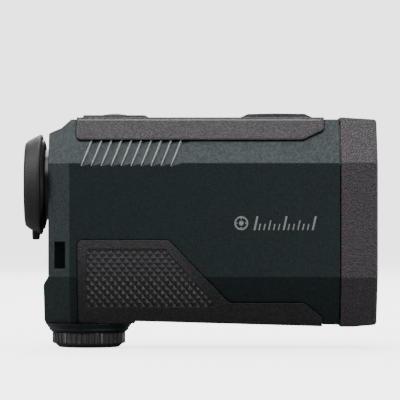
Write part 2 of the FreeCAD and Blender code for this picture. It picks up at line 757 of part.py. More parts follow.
def receiver():
    """Cone-shaped tube, collecting lens and retainer, with the detector at its rear end."""
    seat = f"({plate_back} - 4.5)"
    rear = "17.2"
    keep(turned("receiver_tube", "X", [
        (f"{plate_front} + 0.5", "receiver_radius + 0.2"),
        (f"{plate_front} + 0.5", "receiver_radius + receiver_wall"),
        (f"{plate_back} - 0.1", "receiver_radius + receiver_wall"),
        (f"{plate_back} - 0.1", "receiver_radius + receiver_wall + 0.6"),
        (f"{plate_back} - 5.5", "receiver_radius + receiver_wall + 0.6"),
        (f"{rear} + 3", "detector_radius + 1.3"),
        (rear, "detector_radius + 1.3"),
        (rear, "detector_radius - 0.4"),
        (f"{rear} + 3", "detector_radius - 0.4"),
        (f"{seat} - 0.8", "receiver_radius - 0.8"),
        (seat, "receiver_radius - 0.8"),
        (seat, "receiver_radius"),
        (f"{plate_front} + 0.1", "receiver_radius"),
    ], "receiver_height"))
    keep(lens("receiver_lens", "receiver_height", "(receiver_radius - 0.02)", seat, "3.6", "0.3", "1.3"))
    keep(turned("receiver_retainer", "X", [
        (f"{seat} + 3.6", "receiver_radius - 0.8"),
        (f"{seat} + 3.6", "receiver_radius - 0.02"),
        (f"{plate_back} + 1", "receiver_radius - 0.02"),
        (f"{plate_back} + 1.2", "receiver_radius - 0.4"),
    ], "receiver_height"))
    keep(turned("detector", "X", [
        (f"{rear} - 5.9", "0"),
        (f"{rear} - 5.9", "detector_radius + 0.4"),
        (f"{rear} - 5.3", "detector_radius + 0.4"),
        (f"{rear} - 5.3", "detector_radius"),
        (rear, "detector_radius"),
        (rear, "detector_radius - 1.6"),
        (f"{rear} - 0.4", "0"),
    ], "receiver_height"))
    keep(block("detector_board", (f"{rear} - 6.9", f"{rear} - 5.9"), ("-7", "7"),
               ("receiver_height - 7", "receiver_height + 4.8")))


# ---- prisms, display and laser emitter

def prism_unit():
    """Open-topped holder with a half-penta prism and a roof prism one behind the other."""
    rear = "(prism_front - prism_length)"
    outer_half = "(prism_half_width + holder_wall)"
    floor = f"({eye_axis} - prism_half_height - 0.3)"
    body = block("holder_blank", (rear, "prism_front"), (f"-{outer_half}", outer_half),
                 (f"{floor} - holder_wall", f"{eye_axis} + prism_half_height + 0.6"))
    room = block("holder_room", (f"{rear} + 1", "prism_front - 1"), ("-prism_half_width", "prism_half_width"),
                 (floor, f"{eye_axis} + prism_half_height + 2"))
    light_path = rod("holder_light_path", "X", ("0", eye_axis), "8.6", f"{rear} - 1", "prism_front + 1")
    beam_hole = rod("holder_beam_hole", "Z", ("2", "0"), "laser_radius - 0.4", f"{floor} - 3", f"{floor} + 1")
    keep(cut("prism_holder", body, room, light_path, beam_hole))
    low = f"{eye_axis} - prism_half_height"
    high = f"{eye_axis} + prism_half_height - 0.8"
    slope = "(prism_half_height * 2 - 0.8) * tan(22.5 deg)"
    depth = ("0.1 - prism_half_width", "prism_half_width - 0.1")
    keep(prism("half_penta_prism", "Y", [
        ("prism_front - 1.2", low), ("prism_front - 1.2", high), ("1.5", high), (f"1.5 - {slope}", low),
    ], *depth))
    keep(prism("roof_prism", "Y", [
        ("1.1", high), (f"1.1 - {slope}", low), (f"{rear} + 1.2", low), (f"{rear} + 1.2", f"{eye_axis} + 3.5"),
        (f"{rear} + 7.8", high),
    ], *depth))


def display_unit():
    """Liquid-crystal reticle at the eyepiece focus, its frame and its flexible lead."""
    front = "(prism_front - prism_length)"
    ring = block("display_frame_blank", (f"{front} - 1.4", front), ("-9", "9"), (f"{eye_axis} - 8", f"{eye_axis} + 8"))
    window = rod("display_window", "X", ("0", eye_axis), "6.4", f"{front} - 2", f"{front} + 1")
    keep(cut("display_frame", ring, window))
    keep(block("display_module", (f"{front} - 1.4 - display_thickness", f"{front} - 1.4"), ("-8", "8"),
               (f"{eye_axis} - 7", f"{eye_axis} + 7")))
    keep(block("display_flex", (f"{front} - 2.2 - display_thickness", f"{front} - 1.9 - display_thickness"),
               ("-3", "3"), (f"{eye_axis} + 4", f"{switch_floor} - 1")))
    keep(block("display_flex_pad", (f"{front} - 1.9 - display_thickness", f"{front} - 1.4 - display_thickness"),
               ("-3", "3"), (f"{eye_axis} + 4", f"{eye_axis} + 6")))


def laser_unit():
    """Laser diode and collimating lens in a block under the prisms."""
    ceiling = f"({eye_axis} - prism_half_height - 0.3 - holder_wall - 0.3)"
    blank = block("laser_blank", ("-3", "7"), ("-5", "5"), (f"{ceiling} - 8.4", ceiling))
    bore = rod("laser_bore", "Z", ("2", "0"), "laser_radius + 0.05", f"{ceiling} - 10", f"{ceiling} + 1")
    keep(cut("laser_holder", blank, bore))
    keep(rod("laser_diode", "Z", ("2", "0"), "laser_radius", f"{ceiling} - 9", f"{ceiling} - 4"))
    keep(rod("laser_lens", "Z", ("2", "0"), "laser_radius", f"{ceiling} - 2.4", f"{ceiling} - 0.6"))


# ---- electronics

def main_board():
    """Upright board beside the left wall, its parts on the outer face and four screws."""
    span = ("-19", "24")
    height = ("lower_edge_height - 3.9", f"{eye_axis} + 6.9")
    inner_face = f"({board_face} - board_thickness)"
    blank = block("board_blank", span, (inner_face, board_face), height)
    holes = [rod(f"board_clear_{label}", "Y", place, "small_screw_radius + fit", f"{inner_face} - 1",
                 f"{board_face} + 1") for label, place in board_screw_places.items()]
    keep(cut("main_board", blank, *holes))
    chips = {
        "processor": ("-8", "2", "34", "44", "1.2"),
        "timer": ("6", "12", "36", "42", "1.4"),
        "memory": ("-9", "-3", "25", "29", "1.0"),
        "driver": ("4", "10", "25", "31", "1.0"),
        "converter": ("13", "17", "26", "30", "1.6"),
        "crystal": ("-15", "-12", "36", "42", "1.2"),
    }
    keep(group("board_chips", *[
        block(f"chip_{label}", (left, right), (board_face, f"{board_face} + {height}"), (low, high))
        for label, (left, right, low, high, height) in chips.items()]))
    keep(group("board_screws", *[
        socket_screw(f"board_screw_{label}", "Y", place, inner_face, f"{board_face} + 2.2", "small_screw_radius",
                     "small_screw_radius + 0.85", "1.1")
        for label, place in board_screw_places.items()]))


def switch_board():
    """Narrow board under the roof with a press switch below each button."""
    under = f"({switch_floor} - 1)"
    blank = block("switch_board_blank", (f"{mode_place} - 4.6", f"{power_place} + 3.6"), ("-6.8", "6.8"),
                  (under, switch_floor))
    holes = [rod(f"switch_board_hole_{label}", "Z", (x, "4.6"), "small_screw_radius + fit", f"{under} - 1",
                 f"{switch_floor} + 1") for label, x in switch_screw_places.items()]
    keep(cut("switch_board", blank, *holes))
    for label, place, travel in (("power", power_place, "power_travel"), ("mode", mode_place, "mode_travel")):
        case = block(f"{label}_switch_case", (f"{place} - 3", f"{place} + 3"), ("-3", "3"),
                     (switch_floor, f"{button_floor} - {travel} - 0.5"))
        plunger = rod(f"{label}_switch_plunger", "Z", (place, "0"), "1.6", switch_floor,
                      f"{button_floor} - {travel} - 0.1")
        keep(fuse(f"{label}_switch", case, plunger))
    keep(group("switch_board_screws", *[
        socket_screw(f"switch_screw_{label}", "Z", (x, "4.6"), under, f"{switch_floor} + 2.5",
                     "small_screw_radius", "small_screw_radius + 0.8", "1")
        for label, x in switch_screw_places.items()]))
    keep(prism("switch_flex", "X", [
        ("5.2", under), ("5.2", f"{under} - 0.3"), (f"{board_face} - 3", f"{under} - 0.3"),
        (f"{board_face} - 1.5", f"{under} - 2.2"), (f"{board_face} - 1.5", f"{eye_axis} + 4.4"),
        (f"{board_face} - board_thickness", f"{eye_axis} + 4.4"),
        (f"{board_face} - board_thickness", f"{under} - 2"), (f"{board_face} - 2.8", under),
    ], "-5", "3"))


def buttons():
    """Two press buttons, each held in by a flange under the roof."""
    ceiling = f"{top} - wall - fit"
    keep(turned("power_button", "Z", [
        ("0", button_floor), ("power_radius + 1", button_floor), ("power_radius + 1", ceiling),
        ("power_radius", ceiling), ("power_radius", f"{top} + 1.05"), ("power_radius - 0.6", f"{top} + 1.35"),
        ("power_radius - 2", f"{top} + 1.2"), ("0", f"{top} + 1.05"),
    ], power_place))
    keep(turned("mode_button", "Z", [
        ("0", button_floor), ("mode_radius + 1", button_floor), ("mode_radius + 1", ceiling),
        ("mode_radius", ceiling), ("mode_radius", f"{top} + 1.4"), ("mode_radius - 0.35", f"{top} + 1.65"),
        ("mode_radius - 1.3", f"{top} + 1.86"), ("mode_radius - 2.8", f"{top} + 1.93"),
        ("0", "overall_height"),
    ], mode_place))


# ---- eyepiece

def eyepiece_room():
    """Free space inside the housing, clear of the battery tube, that the neck's flange keeps to."""
    halves = [half_hull(f"eyepiece_room_{label}", side, "-wall", "-1") for label, side in (("right", -1), ("left", 1))]
    battery_clearance = rod("eyepiece_room_battery", "Z", (cap_axis, "0"), f"{tube_radius} + fit",
                            "0", f"{tube_top} + 1.2 + fit")
    return cut("eyepiece_room", fuse("eyepiece_room_both", *halves), battery_clearance)


def eyepiece_tube():
    """Fixed neck clamped behind the rear wall, with a straight slot for the focusing pin."""
    inner_wall = f"({body_rear} + wall)"
    bore = "(cell_radius + fit)"
    barrel = turned("eyepiece_barrel", "X", [
        (f"{tail} + 1.4", bore), (f"{tail} + 1.4", "neck_radius"),
        (f"{inner_wall} + 1.9", "neck_radius"), (f"{inner_wall} + 1.9", "neck_radius - 0.5"),
        (f"{tail} + 25", "neck_radius - 0.5"), (f"{tail} + 25", bore),
    ], eye_axis)
    flange = turned("eyepiece_flange", "X", [
        (f"{inner_wall} + 0.5", "neck_radius - 0.5"), (f"{inner_wall} + 0.5", "neck_radius + 1.5"),
        (f"{inner_wall} + 1.9", "neck_radius + 1.5"), (f"{inner_wall} + 1.9", "neck_radius - 0.5"),
    ], eye_axis)
    room = eyepiece_room()
    tube = fuse("eyepiece_tube_whole", barrel, common("eyepiece_flange_trimmed", flange, room))
    reach = "(focus_travel + pin_radius + fit)"
    slot = block("focus_slot", (f"{pin_place} - {reach}", f"{pin_place} + {reach}"),
                 ("-pin_radius - fit / 2", "pin_radius + fit / 2"), (f"{eye_axis} + 5", f"{eye_axis} + 14"))
    keep(cut("eyepiece_tube", tube, slot))
    seal = turned("eyepiece_seal_ring", "X", [
        (inner_wall, "neck_radius + fit"), (inner_wall, "neck_radius + 1.5"),
        (f"{inner_wall} + 0.5", "neck_radius + 1.5"), (f"{inner_wall} + 0.5", "neck_radius + fit"),
    ], eye_axis)
    keep(common("eyepiece_seal", seal, room))


def eye_lens_cell():
    """Sliding cell with the eyepiece lenses and the radial pin that the ring drives."""
    seat = f"({cell_rear} + 4.3)"
    lens_bore = "(eye_lens_radius + 0.05)"
    barrel = turned("cell_turned", "X", [
        (cell_rear, "eye_lens_radius - 0.5"), (cell_rear, "cell_radius"),
        (f"{cell_rear} + 13.8", "cell_radius"), (f"{cell_rear} + 13.8", lens_bore),
        (seat, lens_bore), (seat, "eye_lens_radius - 0.5"),
    ], eye_axis)
    pin = rod("focus_pin", "Z", (pin_place, "0"), "pin_radius", f"{eye_axis} + cell_radius - 0.8",
              f"{eye_axis} + neck_radius + 10 * {cup_step}")
    keep(fuse("eye_lens_cell", barrel, pin))
    keep(lens("eye_lens", eye_axis, "eye_lens_radius", seat, "3.2", "0.9", "1.1"))
    keep(turned("lens_spacer", "X", [
        (f"{seat} + 3.2", "eye_lens_radius - 0.9"), (f"{seat} + 3.2", "eye_lens_radius"),
        (f"{seat} + 5", "eye_lens_radius"), (f"{seat} + 5", "eye_lens_radius - 0.9"),
    ], eye_axis))
    keep(lens("field_lens", eye_axis, "eye_lens_radius", f"({seat} + 5)", "2.7", "0.9", "0.7"))
    keep(turned("eye_lens_retainer", "X", [
        (f"{seat} + 7.7", "eye_lens_radius - 0.9"), (f"{seat} + 7.7", "eye_lens_radius"),
        (f"{seat} + 8.9", "eye_lens_radius"), (f"{seat} + 8.9", "eye_lens_radius - 0.6"),
    ], eye_axis))


def cam_groove():
    """Helical groove for the focusing pin, swept along the inside of the dioptre ring."""
    axis_height = sizes["overall_height"] - sizes["crown_height"] - sizes["eye_axis_depth"]
    place = -sizes["overall_length"] / 2 + 4.4
    half_turn_rise = sizes["focus_lead"] * 110 / 360
    inner = sizes["neck_radius"] - 0.2
    outer = sizes["neck_radius"] + (sizes["eyecup_radius"] - sizes["neck_radius"]) * 12 / 47
    half = sizes["pin_radius"] + sizes["fit"]
    helix = Part.makeHelix(sizes["focus_lead"], 2 * half_turn_rise, outer)
    corners = [Vector(r, 0, z) for r, z in ((inner, -half), (outer, -half), (outer, half), (inner, half))]
    profile = Part.makePolygon(corners + corners[:1])
    feature = doc.addObject("Part::Feature", "cam_groove")
    feature.Shape = Part.Wire(helix).makePipeShell([profile], True, True)
    # The helix climbs along +Z from angle 0; it is laid along X so that its middle meets the pin.
    centred = Placement(Vector(0, 0, -half_turn_rise), Rotation())
    faced = Placement(Vector(), Rotation(Vector(0, 0, 1), -110))
    laid = Placement(Vector(place, 0, axis_height), Rotation(Vector(0, 1, 0), -90))
    feature.Placement = laid * faced * centred
    return feature


def diopter_ring():
    ring = turned("ring_turned", "X", [
        (f"{tail} + 0.7", "neck_radius - 0.9"), (f"{tail} + 0.7", sleeve_radius),
        (f"{tail} + 5.4", sleeve_radius), (f"{tail} + 5.4", f"eyecup_radius - 14 * {cup_step}"),
        (f"{tail} + 6.2", f"eyecup_radius - 20 * {cup_step}"), (f"{tail} + 6.6", f"neck_radius + 11 * {cup_step}"),
        (f"{tail} + 6.6", ring_bore),
        (f"{tail} + 1.25", ring_bore), (f"{tail} + 1.25", "neck_radius - 0.9"),
    ], eye_axis)
    keep(cut("diopter_ring", ring, cam_groove()))


def eyecup():
    """Rubber cup pressed over the dioptre ring, with a small finger tab underneath."""
    cup = turned("eyecup_turned", "X", [
        (f"{tail} + 0.55", "neck_radius - 0.8"), (f"{tail} + 0.2", f"neck_radius + 2 * {cup_step}"),
        (tail, f"neck_radius + 9 * {cup_step}"), (tail, f"neck_radius + 18 * {cup_step}"),
        (f"{tail} + 0.15", f"neck_radius + 23.5 * {cup_step}"), (f"{tail} + 0.6", f"neck_radius + 28 * {cup_step}"),
        (f"{tail} + 4.3", f"eyecup_radius - {cup_step}"), (f"{tail} + 4.6", "eyecup_radius"),
        (f"{tail} + 4.9", f"eyecup_radius - 3 * {cup_step}"), (f"{tail} + 5.35", f"eyecup_radius - 13 * {cup_step}"),
        (f"{tail} + 5.35", sleeve_radius), (f"{tail} + 0.65", sleeve_radius),
        (f"{tail} + 0.65", "neck_radius - 0.8"),
    ], eye_axis)
    tab = prism("eyecup_tab", "Y", [
        (f"{tail} + 2.2", f"{eye_axis} - eyecup_radius + 1.6"),
        (f"{tail} + 2.4", f"{eye_axis} - eyecup_radius - 1.4"),
        (f"{tail} + 2.6", f"{eye_axis} - eyecup_radius - 1.6"),
        (f"{tail} + 4.2", f"{eye_axis} - eyecup_radius - 1.6"),
        (f"{tail} + 4.4", f"{eye_axis} - eyecup_radius - 1.4"),
        (f"{tail} + 4.6", f"{eye_axis} - eyecup_radius + 1.6"),
    ], "-1.5", "1.5")
    keep(fuse("eyecup", cup, tab))


# ---- battery compartment

def battery_room():
    """Tube, collar, cell, contacts, spring, screw cap and its seal."""
    keep(turned("battery_tube", "Z", [
        (bore_radius, tube_floor), (f"{spigot_radius} + 1.8", tube_floor),
        (f"{spigot_radius} + 1.8", f"{tube_floor} + 1"), (tube_radius, f"{tube_floor} + 1"),
        (tube_radius, f"{tube_top} + 1.2"), ("2", f"{tube_top} + 1.2"), ("2", tube_top), (bore_radius, tube_top),
    ], cap_axis))
    keep(turned("positive_contact", "Z", [
        ("0", f"{tube_top} - 0.5"), ("4.5", f"{tube_top} - 0.5"), ("4.5", f"{tube_top} - 0.1"),
        ("1.5", f"{tube_top} - 0.1"), ("1.5", f"{tube_top} + 1.7"), ("0", f"{tube_top} + 1.7"),
    ], cap_axis))
    lip = "cap_height + fit"
    keep(turned("battery_collar", "Z", [
        (f"{spigot_radius} + 0.2", lip), ("collar_radius - 1.2", lip), ("collar_radius - 0.3", f"{lip} + 0.8"),
        ("collar_radius - 0.3", f"{lip} + 1.2"), ("collar_radius + 1", "boss_height"),
        ("collar_radius - 0.8", "boss_height"), ("collar_radius - 0.8", tube_floor),
        (f"{spigot_radius} + 0.2", tube_floor),
    ], cap_axis))
    keep(turned("battery", "Z", [
        ("0", cell_floor), ("battery_radius - 0.3", cell_floor), ("battery_radius", f"{cell_floor} + 0.3"),
        ("battery_radius", f"{cell_floor} + battery_length - 1.1"),
        ("battery_radius - 0.5", f"{cell_floor} + battery_length - 0.6"),
        ("3.2", f"{cell_floor} + battery_length - 0.6"), ("3.2", f"{cell_floor} + battery_length"),
        ("0", f"{cell_floor} + battery_length"),
    ], cap_axis))
    keep(turned("cap_contact", "Z", [
        ("0", "2.3"), ("6.5", "2.3"), ("6.5", "2.6"), ("0", "2.6"),
    ], cap_axis))


def battery_spring():
    """Coil spring between the cap contact and the cell's negative end."""
    axis_place = sizes["eyepiece_reach"] - sizes["overall_length"] / 2 + sizes["cap_setback"]
    coil_radius = 4.2
    wire_radius = 0.35
    helix = Part.makeHelix(1.5, 4.5, coil_radius)
    section = Part.Wire(Part.makeCircle(wire_radius, Vector(coil_radius, 0, 0), Vector(0, 1, 0)))
    coil = doc.addObject("Part::Feature", "battery_spring")
    coil.Shape = Part.Wire(helix).makePipeShell([section], True, True)
    coil.Placement = Placement(Vector(axis_place, 0, 3.1), Rotation())
    keep(coil)


def battery_cap():
    """Knurled screw cap with a coin slot, an O-ring groove and the spigot that closes the tube."""
    rim = "cap_height + cap_spigot"
    groove = ("cap_height + 1", "cap_height + 2")
    cap = turned("cap_turned", "Z", [
        ("0", "0"), ("cap_radius - 1.9", "0"), ("cap_radius - 0.3", "1.4"), ("cap_radius", "cap_height"),
        (spigot_radius, "cap_height"), (spigot_radius, groove[0]), (f"{spigot_radius} - 0.7", groove[0]),
        (f"{spigot_radius} - 0.7", groove[1]), (spigot_radius, groove[1]), (spigot_radius, rim),
        (bore_radius, rim), (bore_radius, "2.2"), ("0", "2.2"),
    ], cap_axis)
    flute = sketch_polygon(cap, "Z", [
        ("cap_radius - 0.4", "0"), ("cap_radius + 0.6", "-0.7"), ("cap_radius + 0.6", "0.7"),
    ], "cap_height + 0.2")
    pocket = cap.newObject("PartDesign::Pocket", "cap_flute")
    pocket.Profile = flute
    bind(pocket, "Length", "cap_height - 1")
    pattern = cap.newObject("PartDesign::PolarPattern", "cap_flutes")
    pattern.Originals = [pocket]
    pattern.Axis = (origin_feature(cap, "Z_Axis"), [""])
    pattern.Angle = 360
    pattern.Occurrences = 36
    cap.Tip = pattern
    coin_slot = block("coin_slot", (f"{cap_axis} - 6", f"{cap_axis} + 6"), ("-0.9", "0.9"), ("-1", "1.1"))
    keep(cut("battery_cap", cap, coin_slot))
    ring = doc.addObject("Part::Torus", "cap_seal")
    bind(ring, "Radius1", f"{spigot_radius} - 0.3")
    bind(ring, "Radius2", "0.38")
    bind(ring, "Placement.Base.x", cap_axis)
    bind(ring, "Placement.Base.z", "cap_height + 1.5")
    keep(ring)


def check_and_export():
    """Recompute, stop on any fault, then write one file per sub-part."""
    doc.recompute()
    for thing in doc.Objects:
        if "Invalid" in thing.State or "Error" in thing.State:
            raise RuntimeError(f"{thing.Label} did not build: {thing.State}")
    os.makedirs("parts", exist_ok=True)
    for thing in kept:
        shape = thing.Shape
        if shape.isNull() or not shape.isValid() or shape.Volume <= 0:
            raise RuntimeError(f"{thing.Label} has no valid solid")
        shape.exportStep(f"parts/{thing.Label}.step")
        print(f"{thing.Label}: {len(shape.Solids)} solid(s), {shape.Volume:.1f} mm3")


shell("right_shell", -1)
shell("left_shell", 1)
shell_gasket()
shell_screws()
top_armour()
grip_armour()
front_bezel()
front_frame()
front_plate()
objective()
receiver()
prism_unit()
display_unit()
laser_unit()
main_board()
switch_board()
buttons()
eyepiece_tube()
eye_lens_cell()
diopter_ring()
eyecup()
battery_room()
battery_spring()
battery_cap()
check_and_export()
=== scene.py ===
import bmesh
import bpy
import json
import math
from mathutils import Matrix, Vector


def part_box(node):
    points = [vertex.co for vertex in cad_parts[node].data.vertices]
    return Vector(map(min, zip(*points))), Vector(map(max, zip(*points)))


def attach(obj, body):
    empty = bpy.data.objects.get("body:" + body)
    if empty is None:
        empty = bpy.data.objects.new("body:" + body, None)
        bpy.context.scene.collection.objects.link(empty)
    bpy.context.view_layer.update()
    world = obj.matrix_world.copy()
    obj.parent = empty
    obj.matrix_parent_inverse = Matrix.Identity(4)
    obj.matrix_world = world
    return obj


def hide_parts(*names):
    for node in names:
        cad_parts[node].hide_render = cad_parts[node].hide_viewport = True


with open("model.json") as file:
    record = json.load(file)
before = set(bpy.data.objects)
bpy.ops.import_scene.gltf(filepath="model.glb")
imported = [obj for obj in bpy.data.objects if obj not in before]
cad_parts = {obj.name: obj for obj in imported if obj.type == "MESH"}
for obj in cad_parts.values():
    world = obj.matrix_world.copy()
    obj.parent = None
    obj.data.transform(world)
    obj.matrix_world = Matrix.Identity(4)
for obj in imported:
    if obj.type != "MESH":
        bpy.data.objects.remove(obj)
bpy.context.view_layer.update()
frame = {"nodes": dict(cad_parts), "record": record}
nodes = frame["nodes"]
mm = 0.001
print("stage: frame loaded,", len(nodes), "nodes")


# camera, floor and light

view = {
    "distance": 1.0,          # metres from the middle of the object to the lens
    "height": 0.0462,
    "lens": 285.5,            # mm, for the sensor below
    "sensor": 36,
}


def makeCamera():
    data = bpy.data.cameras.new("camera")
    data.lens = view["lens"]
    data.sensor_width = view["sensor"]
    camera = bpy.data.objects.new("camera", data)
    camera.location = (0, -view["distance"], view["height"])
    camera.rotation_euler = (math.radians(90), 0, 0)
    bpy.context.scene.collection.objects.link(camera)
    bpy.context.scene.camera = camera


light = {
    "backdrop": 3.0,          # how bright the empty surroundings look
    "fill": 0.09,             # how much the surroundings light the object
    "lamps": [                # name, place, size, power
        ("topBox", (-0.05, -0.36, 0.80), 0.7, 7.4),
        ("sideBox", (0.50, -0.78, 0.55), 0.35, 1.3),
        ("lowBox", (0.56, -0.76, 0.055), 0.15, 2.2),
        ("crownBox", (0.0, 0.36, 0.82), 0.4, 5.0),
        ("rearBox", (-0.75, -0.10, 0.60), 0.5, 5.4),
        ("tailBox", (-0.90, -0.12, 0.14), 0.4, 1.2),
        ("noseBox", (0.90, 0.30, 0.42), 0.6, 6.0),
        ("farBox", (-0.10, 0.85, 0.58), 0.6, 7.0),
    ],
    "aim": (0, 0, 0.04),      # every lamp points here
    "floorTone": 0.19,        # what the floor gives back to the object
    "floorShine": 2.9,        # how bright the floor itself looks
    "floorPaint": 0.8, "floorRough": 0.9,
    "floorDrop": 0.15 * mm, "floorHalf": 40.0,
}


def areaLight(name, place, aim, size, power):
    data = bpy.data.lights.new(name, "AREA")
    data.energy = power
    data.size = size
    lamp = bpy.data.objects.new(name, data)
    lamp.location = place
    lamp.rotation_euler = (Vector(aim) - Vector(place)).to_track_quat("-Z", "Y").to_euler()
    bpy.context.scene.collection.objects.link(lamp)


def splitByCamera(tree, unseen, seen, surface):
    # the camera sees one shader, and the light meets the other
    path = tree.nodes.new("ShaderNodeLightPath")
    mix = tree.nodes.new("ShaderNodeMixShader")
    tree.links.new(path.outputs["Is Camera Ray"], mix.inputs["Fac"])
    tree.links.new(unseen.outputs[0], mix.inputs[1])
    tree.links.new(seen.outputs[0], mix.inputs[2])
    tree.links.new(mix.outputs[0], surface)


def makeSky():
    world = bpy.data.worlds.new("studio")
    bpy.context.scene.world = world
    world.use_nodes = True
    tree = world.node_tree
    seen = tree.nodes["Background"]
    seen.inputs["Strength"].default_value = light["backdrop"]
    seen.inputs["Color"].default_value = (1, 1, 1, 1)
    lit = tree.nodes.new("ShaderNodeBackground")
    lit.inputs["Strength"].default_value = light["fill"]
    lit.inputs["Color"].default_value = (1, 1, 1, 1)
    splitByCamera(tree, lit, seen, tree.nodes["World Output"].inputs["Surface"])


def makeFloor():
    mesh = bpy.data.meshes.new("floor")
    drop = -light["floorDrop"]
    wide = light["floorHalf"]
    corners = [(-wide, -wide, drop), (wide, -wide, drop), (wide, wide, drop), (-wide, wide, drop)]
    mesh.from_pydata(corners, [], [(0, 1, 2, 3)])
    floor = bpy.data.objects.new("floor", mesh)
    bpy.context.scene.collection.objects.link(floor)
    white = bpy.data.materials.new("paleFloor")
    white.use_nodes = True
    tree = white.node_tree
    shader = tree.nodes["Principled BSDF"]
    pale = light["floorPaint"]
    shader.inputs["Base Color"].default_value = (pale, pale, pale, 1)
    shader.inputs["Roughness"].default_value = light["floorRough"]
    shader.inputs["Emission Color"].default_value = (1, 1, 1, 1)
    shader.inputs["Emission Strength"].default_value = light["floorShine"]
    dim = tree.nodes.new("ShaderNodeBsdfDiffuse")
    tone = light["floorTone"]
    dim.inputs["Color"].default_value = (tone, tone, tone, 1)
    splitByCamera(tree, dim, shader, tree.nodes["Material Output"].inputs["Surface"])
    mesh.materials.append(white)


makeCamera()
makeSky()
makeFloor()
for lampName, place, size, power in light["lamps"]:
    areaLight(lampName, place, light["aim"], size, power)
print("stage: camera, light and floor ready")


# shader groups that several finishes share

def newGroup(name, inputs, outputs):
    group = bpy.data.node_groups.new(name, "ShaderNodeTree")
    for label, kind, value in inputs:
        socket = group.interface.new_socket(label, in_out="INPUT", socket_type=kind)
        if value is not None:
            socket.default_value = value
    for label, kind in outputs:
        group.interface.new_socket(label, in_out="OUTPUT", socket_type=kind)
    return group, group.nodes.new("NodeGroupInput"), group.nodes.new("NodeGroupOutput")


def mathNode(tree, operation, first, second):
    node = tree.nodes.new("ShaderNodeMath")
    node.operation = operation
    for socket, source in zip(node.inputs, (first, second)):
        if isinstance(source, (int, float)):
            socket.default_value = source
        else:
            tree.links.new(source, socket)
    return node.outputs[0]


def noiseNode(tree, vector, scale, detail, rough=0.5):
    node = tree.nodes.new("ShaderNodeTexNoise")
    node.inputs["Detail"].default_value = detail
    node.inputs["Roughness"].default_value = rough
    tree.links.new(vector, node.inputs["Vector"])
    if isinstance(scale, (int, float)):
        node.inputs["Scale"].default_value = scale
    else:
        tree.links.new(scale, node.inputs["Scale"])
    return node.outputs["Fac"]


def spread(tree, value, low, high, toLow=0.0, toHigh=1.0):
    node = tree.nodes.new("ShaderNodeMapRange")
    node.interpolation_type = "SMOOTHSTEP"
    tree.links.new(value, node.inputs["Value"])
    ends = (("From Min", low), ("From Max", high), ("To Min", toLow), ("To Max", toHigh))
    for label, number in ends:
        node.inputs[label].default_value = number
    return node.outputs["Result"]


speckleGrain = {
    "fine": (3.0, 0.7), "middle": (2.0, 0.6),          # detail and roughness of the noise
    "broadDetail": 2.0, "broadScale": 0.02, "middleScale": 0.4,
    "fineShare": 0.6, "middleShare": 0.4,
    "fleck": (0.36, 0.66), "cloud": (0.3, 0.7),
}


def makeSpeckle():
    # sparkle-like grains of a textured paint over a slow cloud of tone
    group, start, end = newGroup("paintSpeckle", [
        ("Vector", "NodeSocketVector", None), ("Grains per metre", "NodeSocketFloat", 2600.0),
    ], [("Fleck", "NodeSocketFloat"), ("Cloud", "NodeSocketFloat"), ("Height", "NodeSocketFloat")])
    vector, density = start.outputs["Vector"], start.outputs["Grains per metre"]
    values = speckleGrain
    fine = noiseNode(group, vector, density, *values["fine"])
    broadDensity = mathNode(group, "MULTIPLY", density, values["broadScale"])
    broad = noiseNode(group, vector, broadDensity, values["broadDetail"])
    middleDensity = mathNode(group, "MULTIPLY", density, values["middleScale"])
    middleGrain = noiseNode(group, vector, middleDensity, *values["middle"])
    cells = group.nodes.new("ShaderNodeTexVoronoi")
    group.links.new(vector, cells.inputs["Vector"])
    group.links.new(density, cells.inputs["Scale"])
    both = mathNode(group, "ADD", mathNode(group, "MULTIPLY", fine, values["fineShare"]),
                    mathNode(group, "MULTIPLY", middleGrain, values["middleShare"]))
    group.links.new(spread(group, both, *values["fleck"]), end.inputs["Fleck"])
    group.links.new(spread(group, broad, *values["cloud"]), end.inputs["Cloud"])
    bumps = mathNode(group, "MULTIPLY", both, cells.outputs["Distance"])
    group.links.new(bumps, end.inputs["Height"])
    return group


leatherGrain = {
    "warpDetail": 2.0, "warpScale": 0.5, "warpBy": 0.0007,
    "smoothness": 0.55, "wrinkle": (4.0, 0.65), "wrinkleScale": 1.4,
    "pebbleShare": 0.55, "wrinkleShare": 0.75,
    "tone": (0.35, 0.7), "pore": (0.35, 0.75),
}


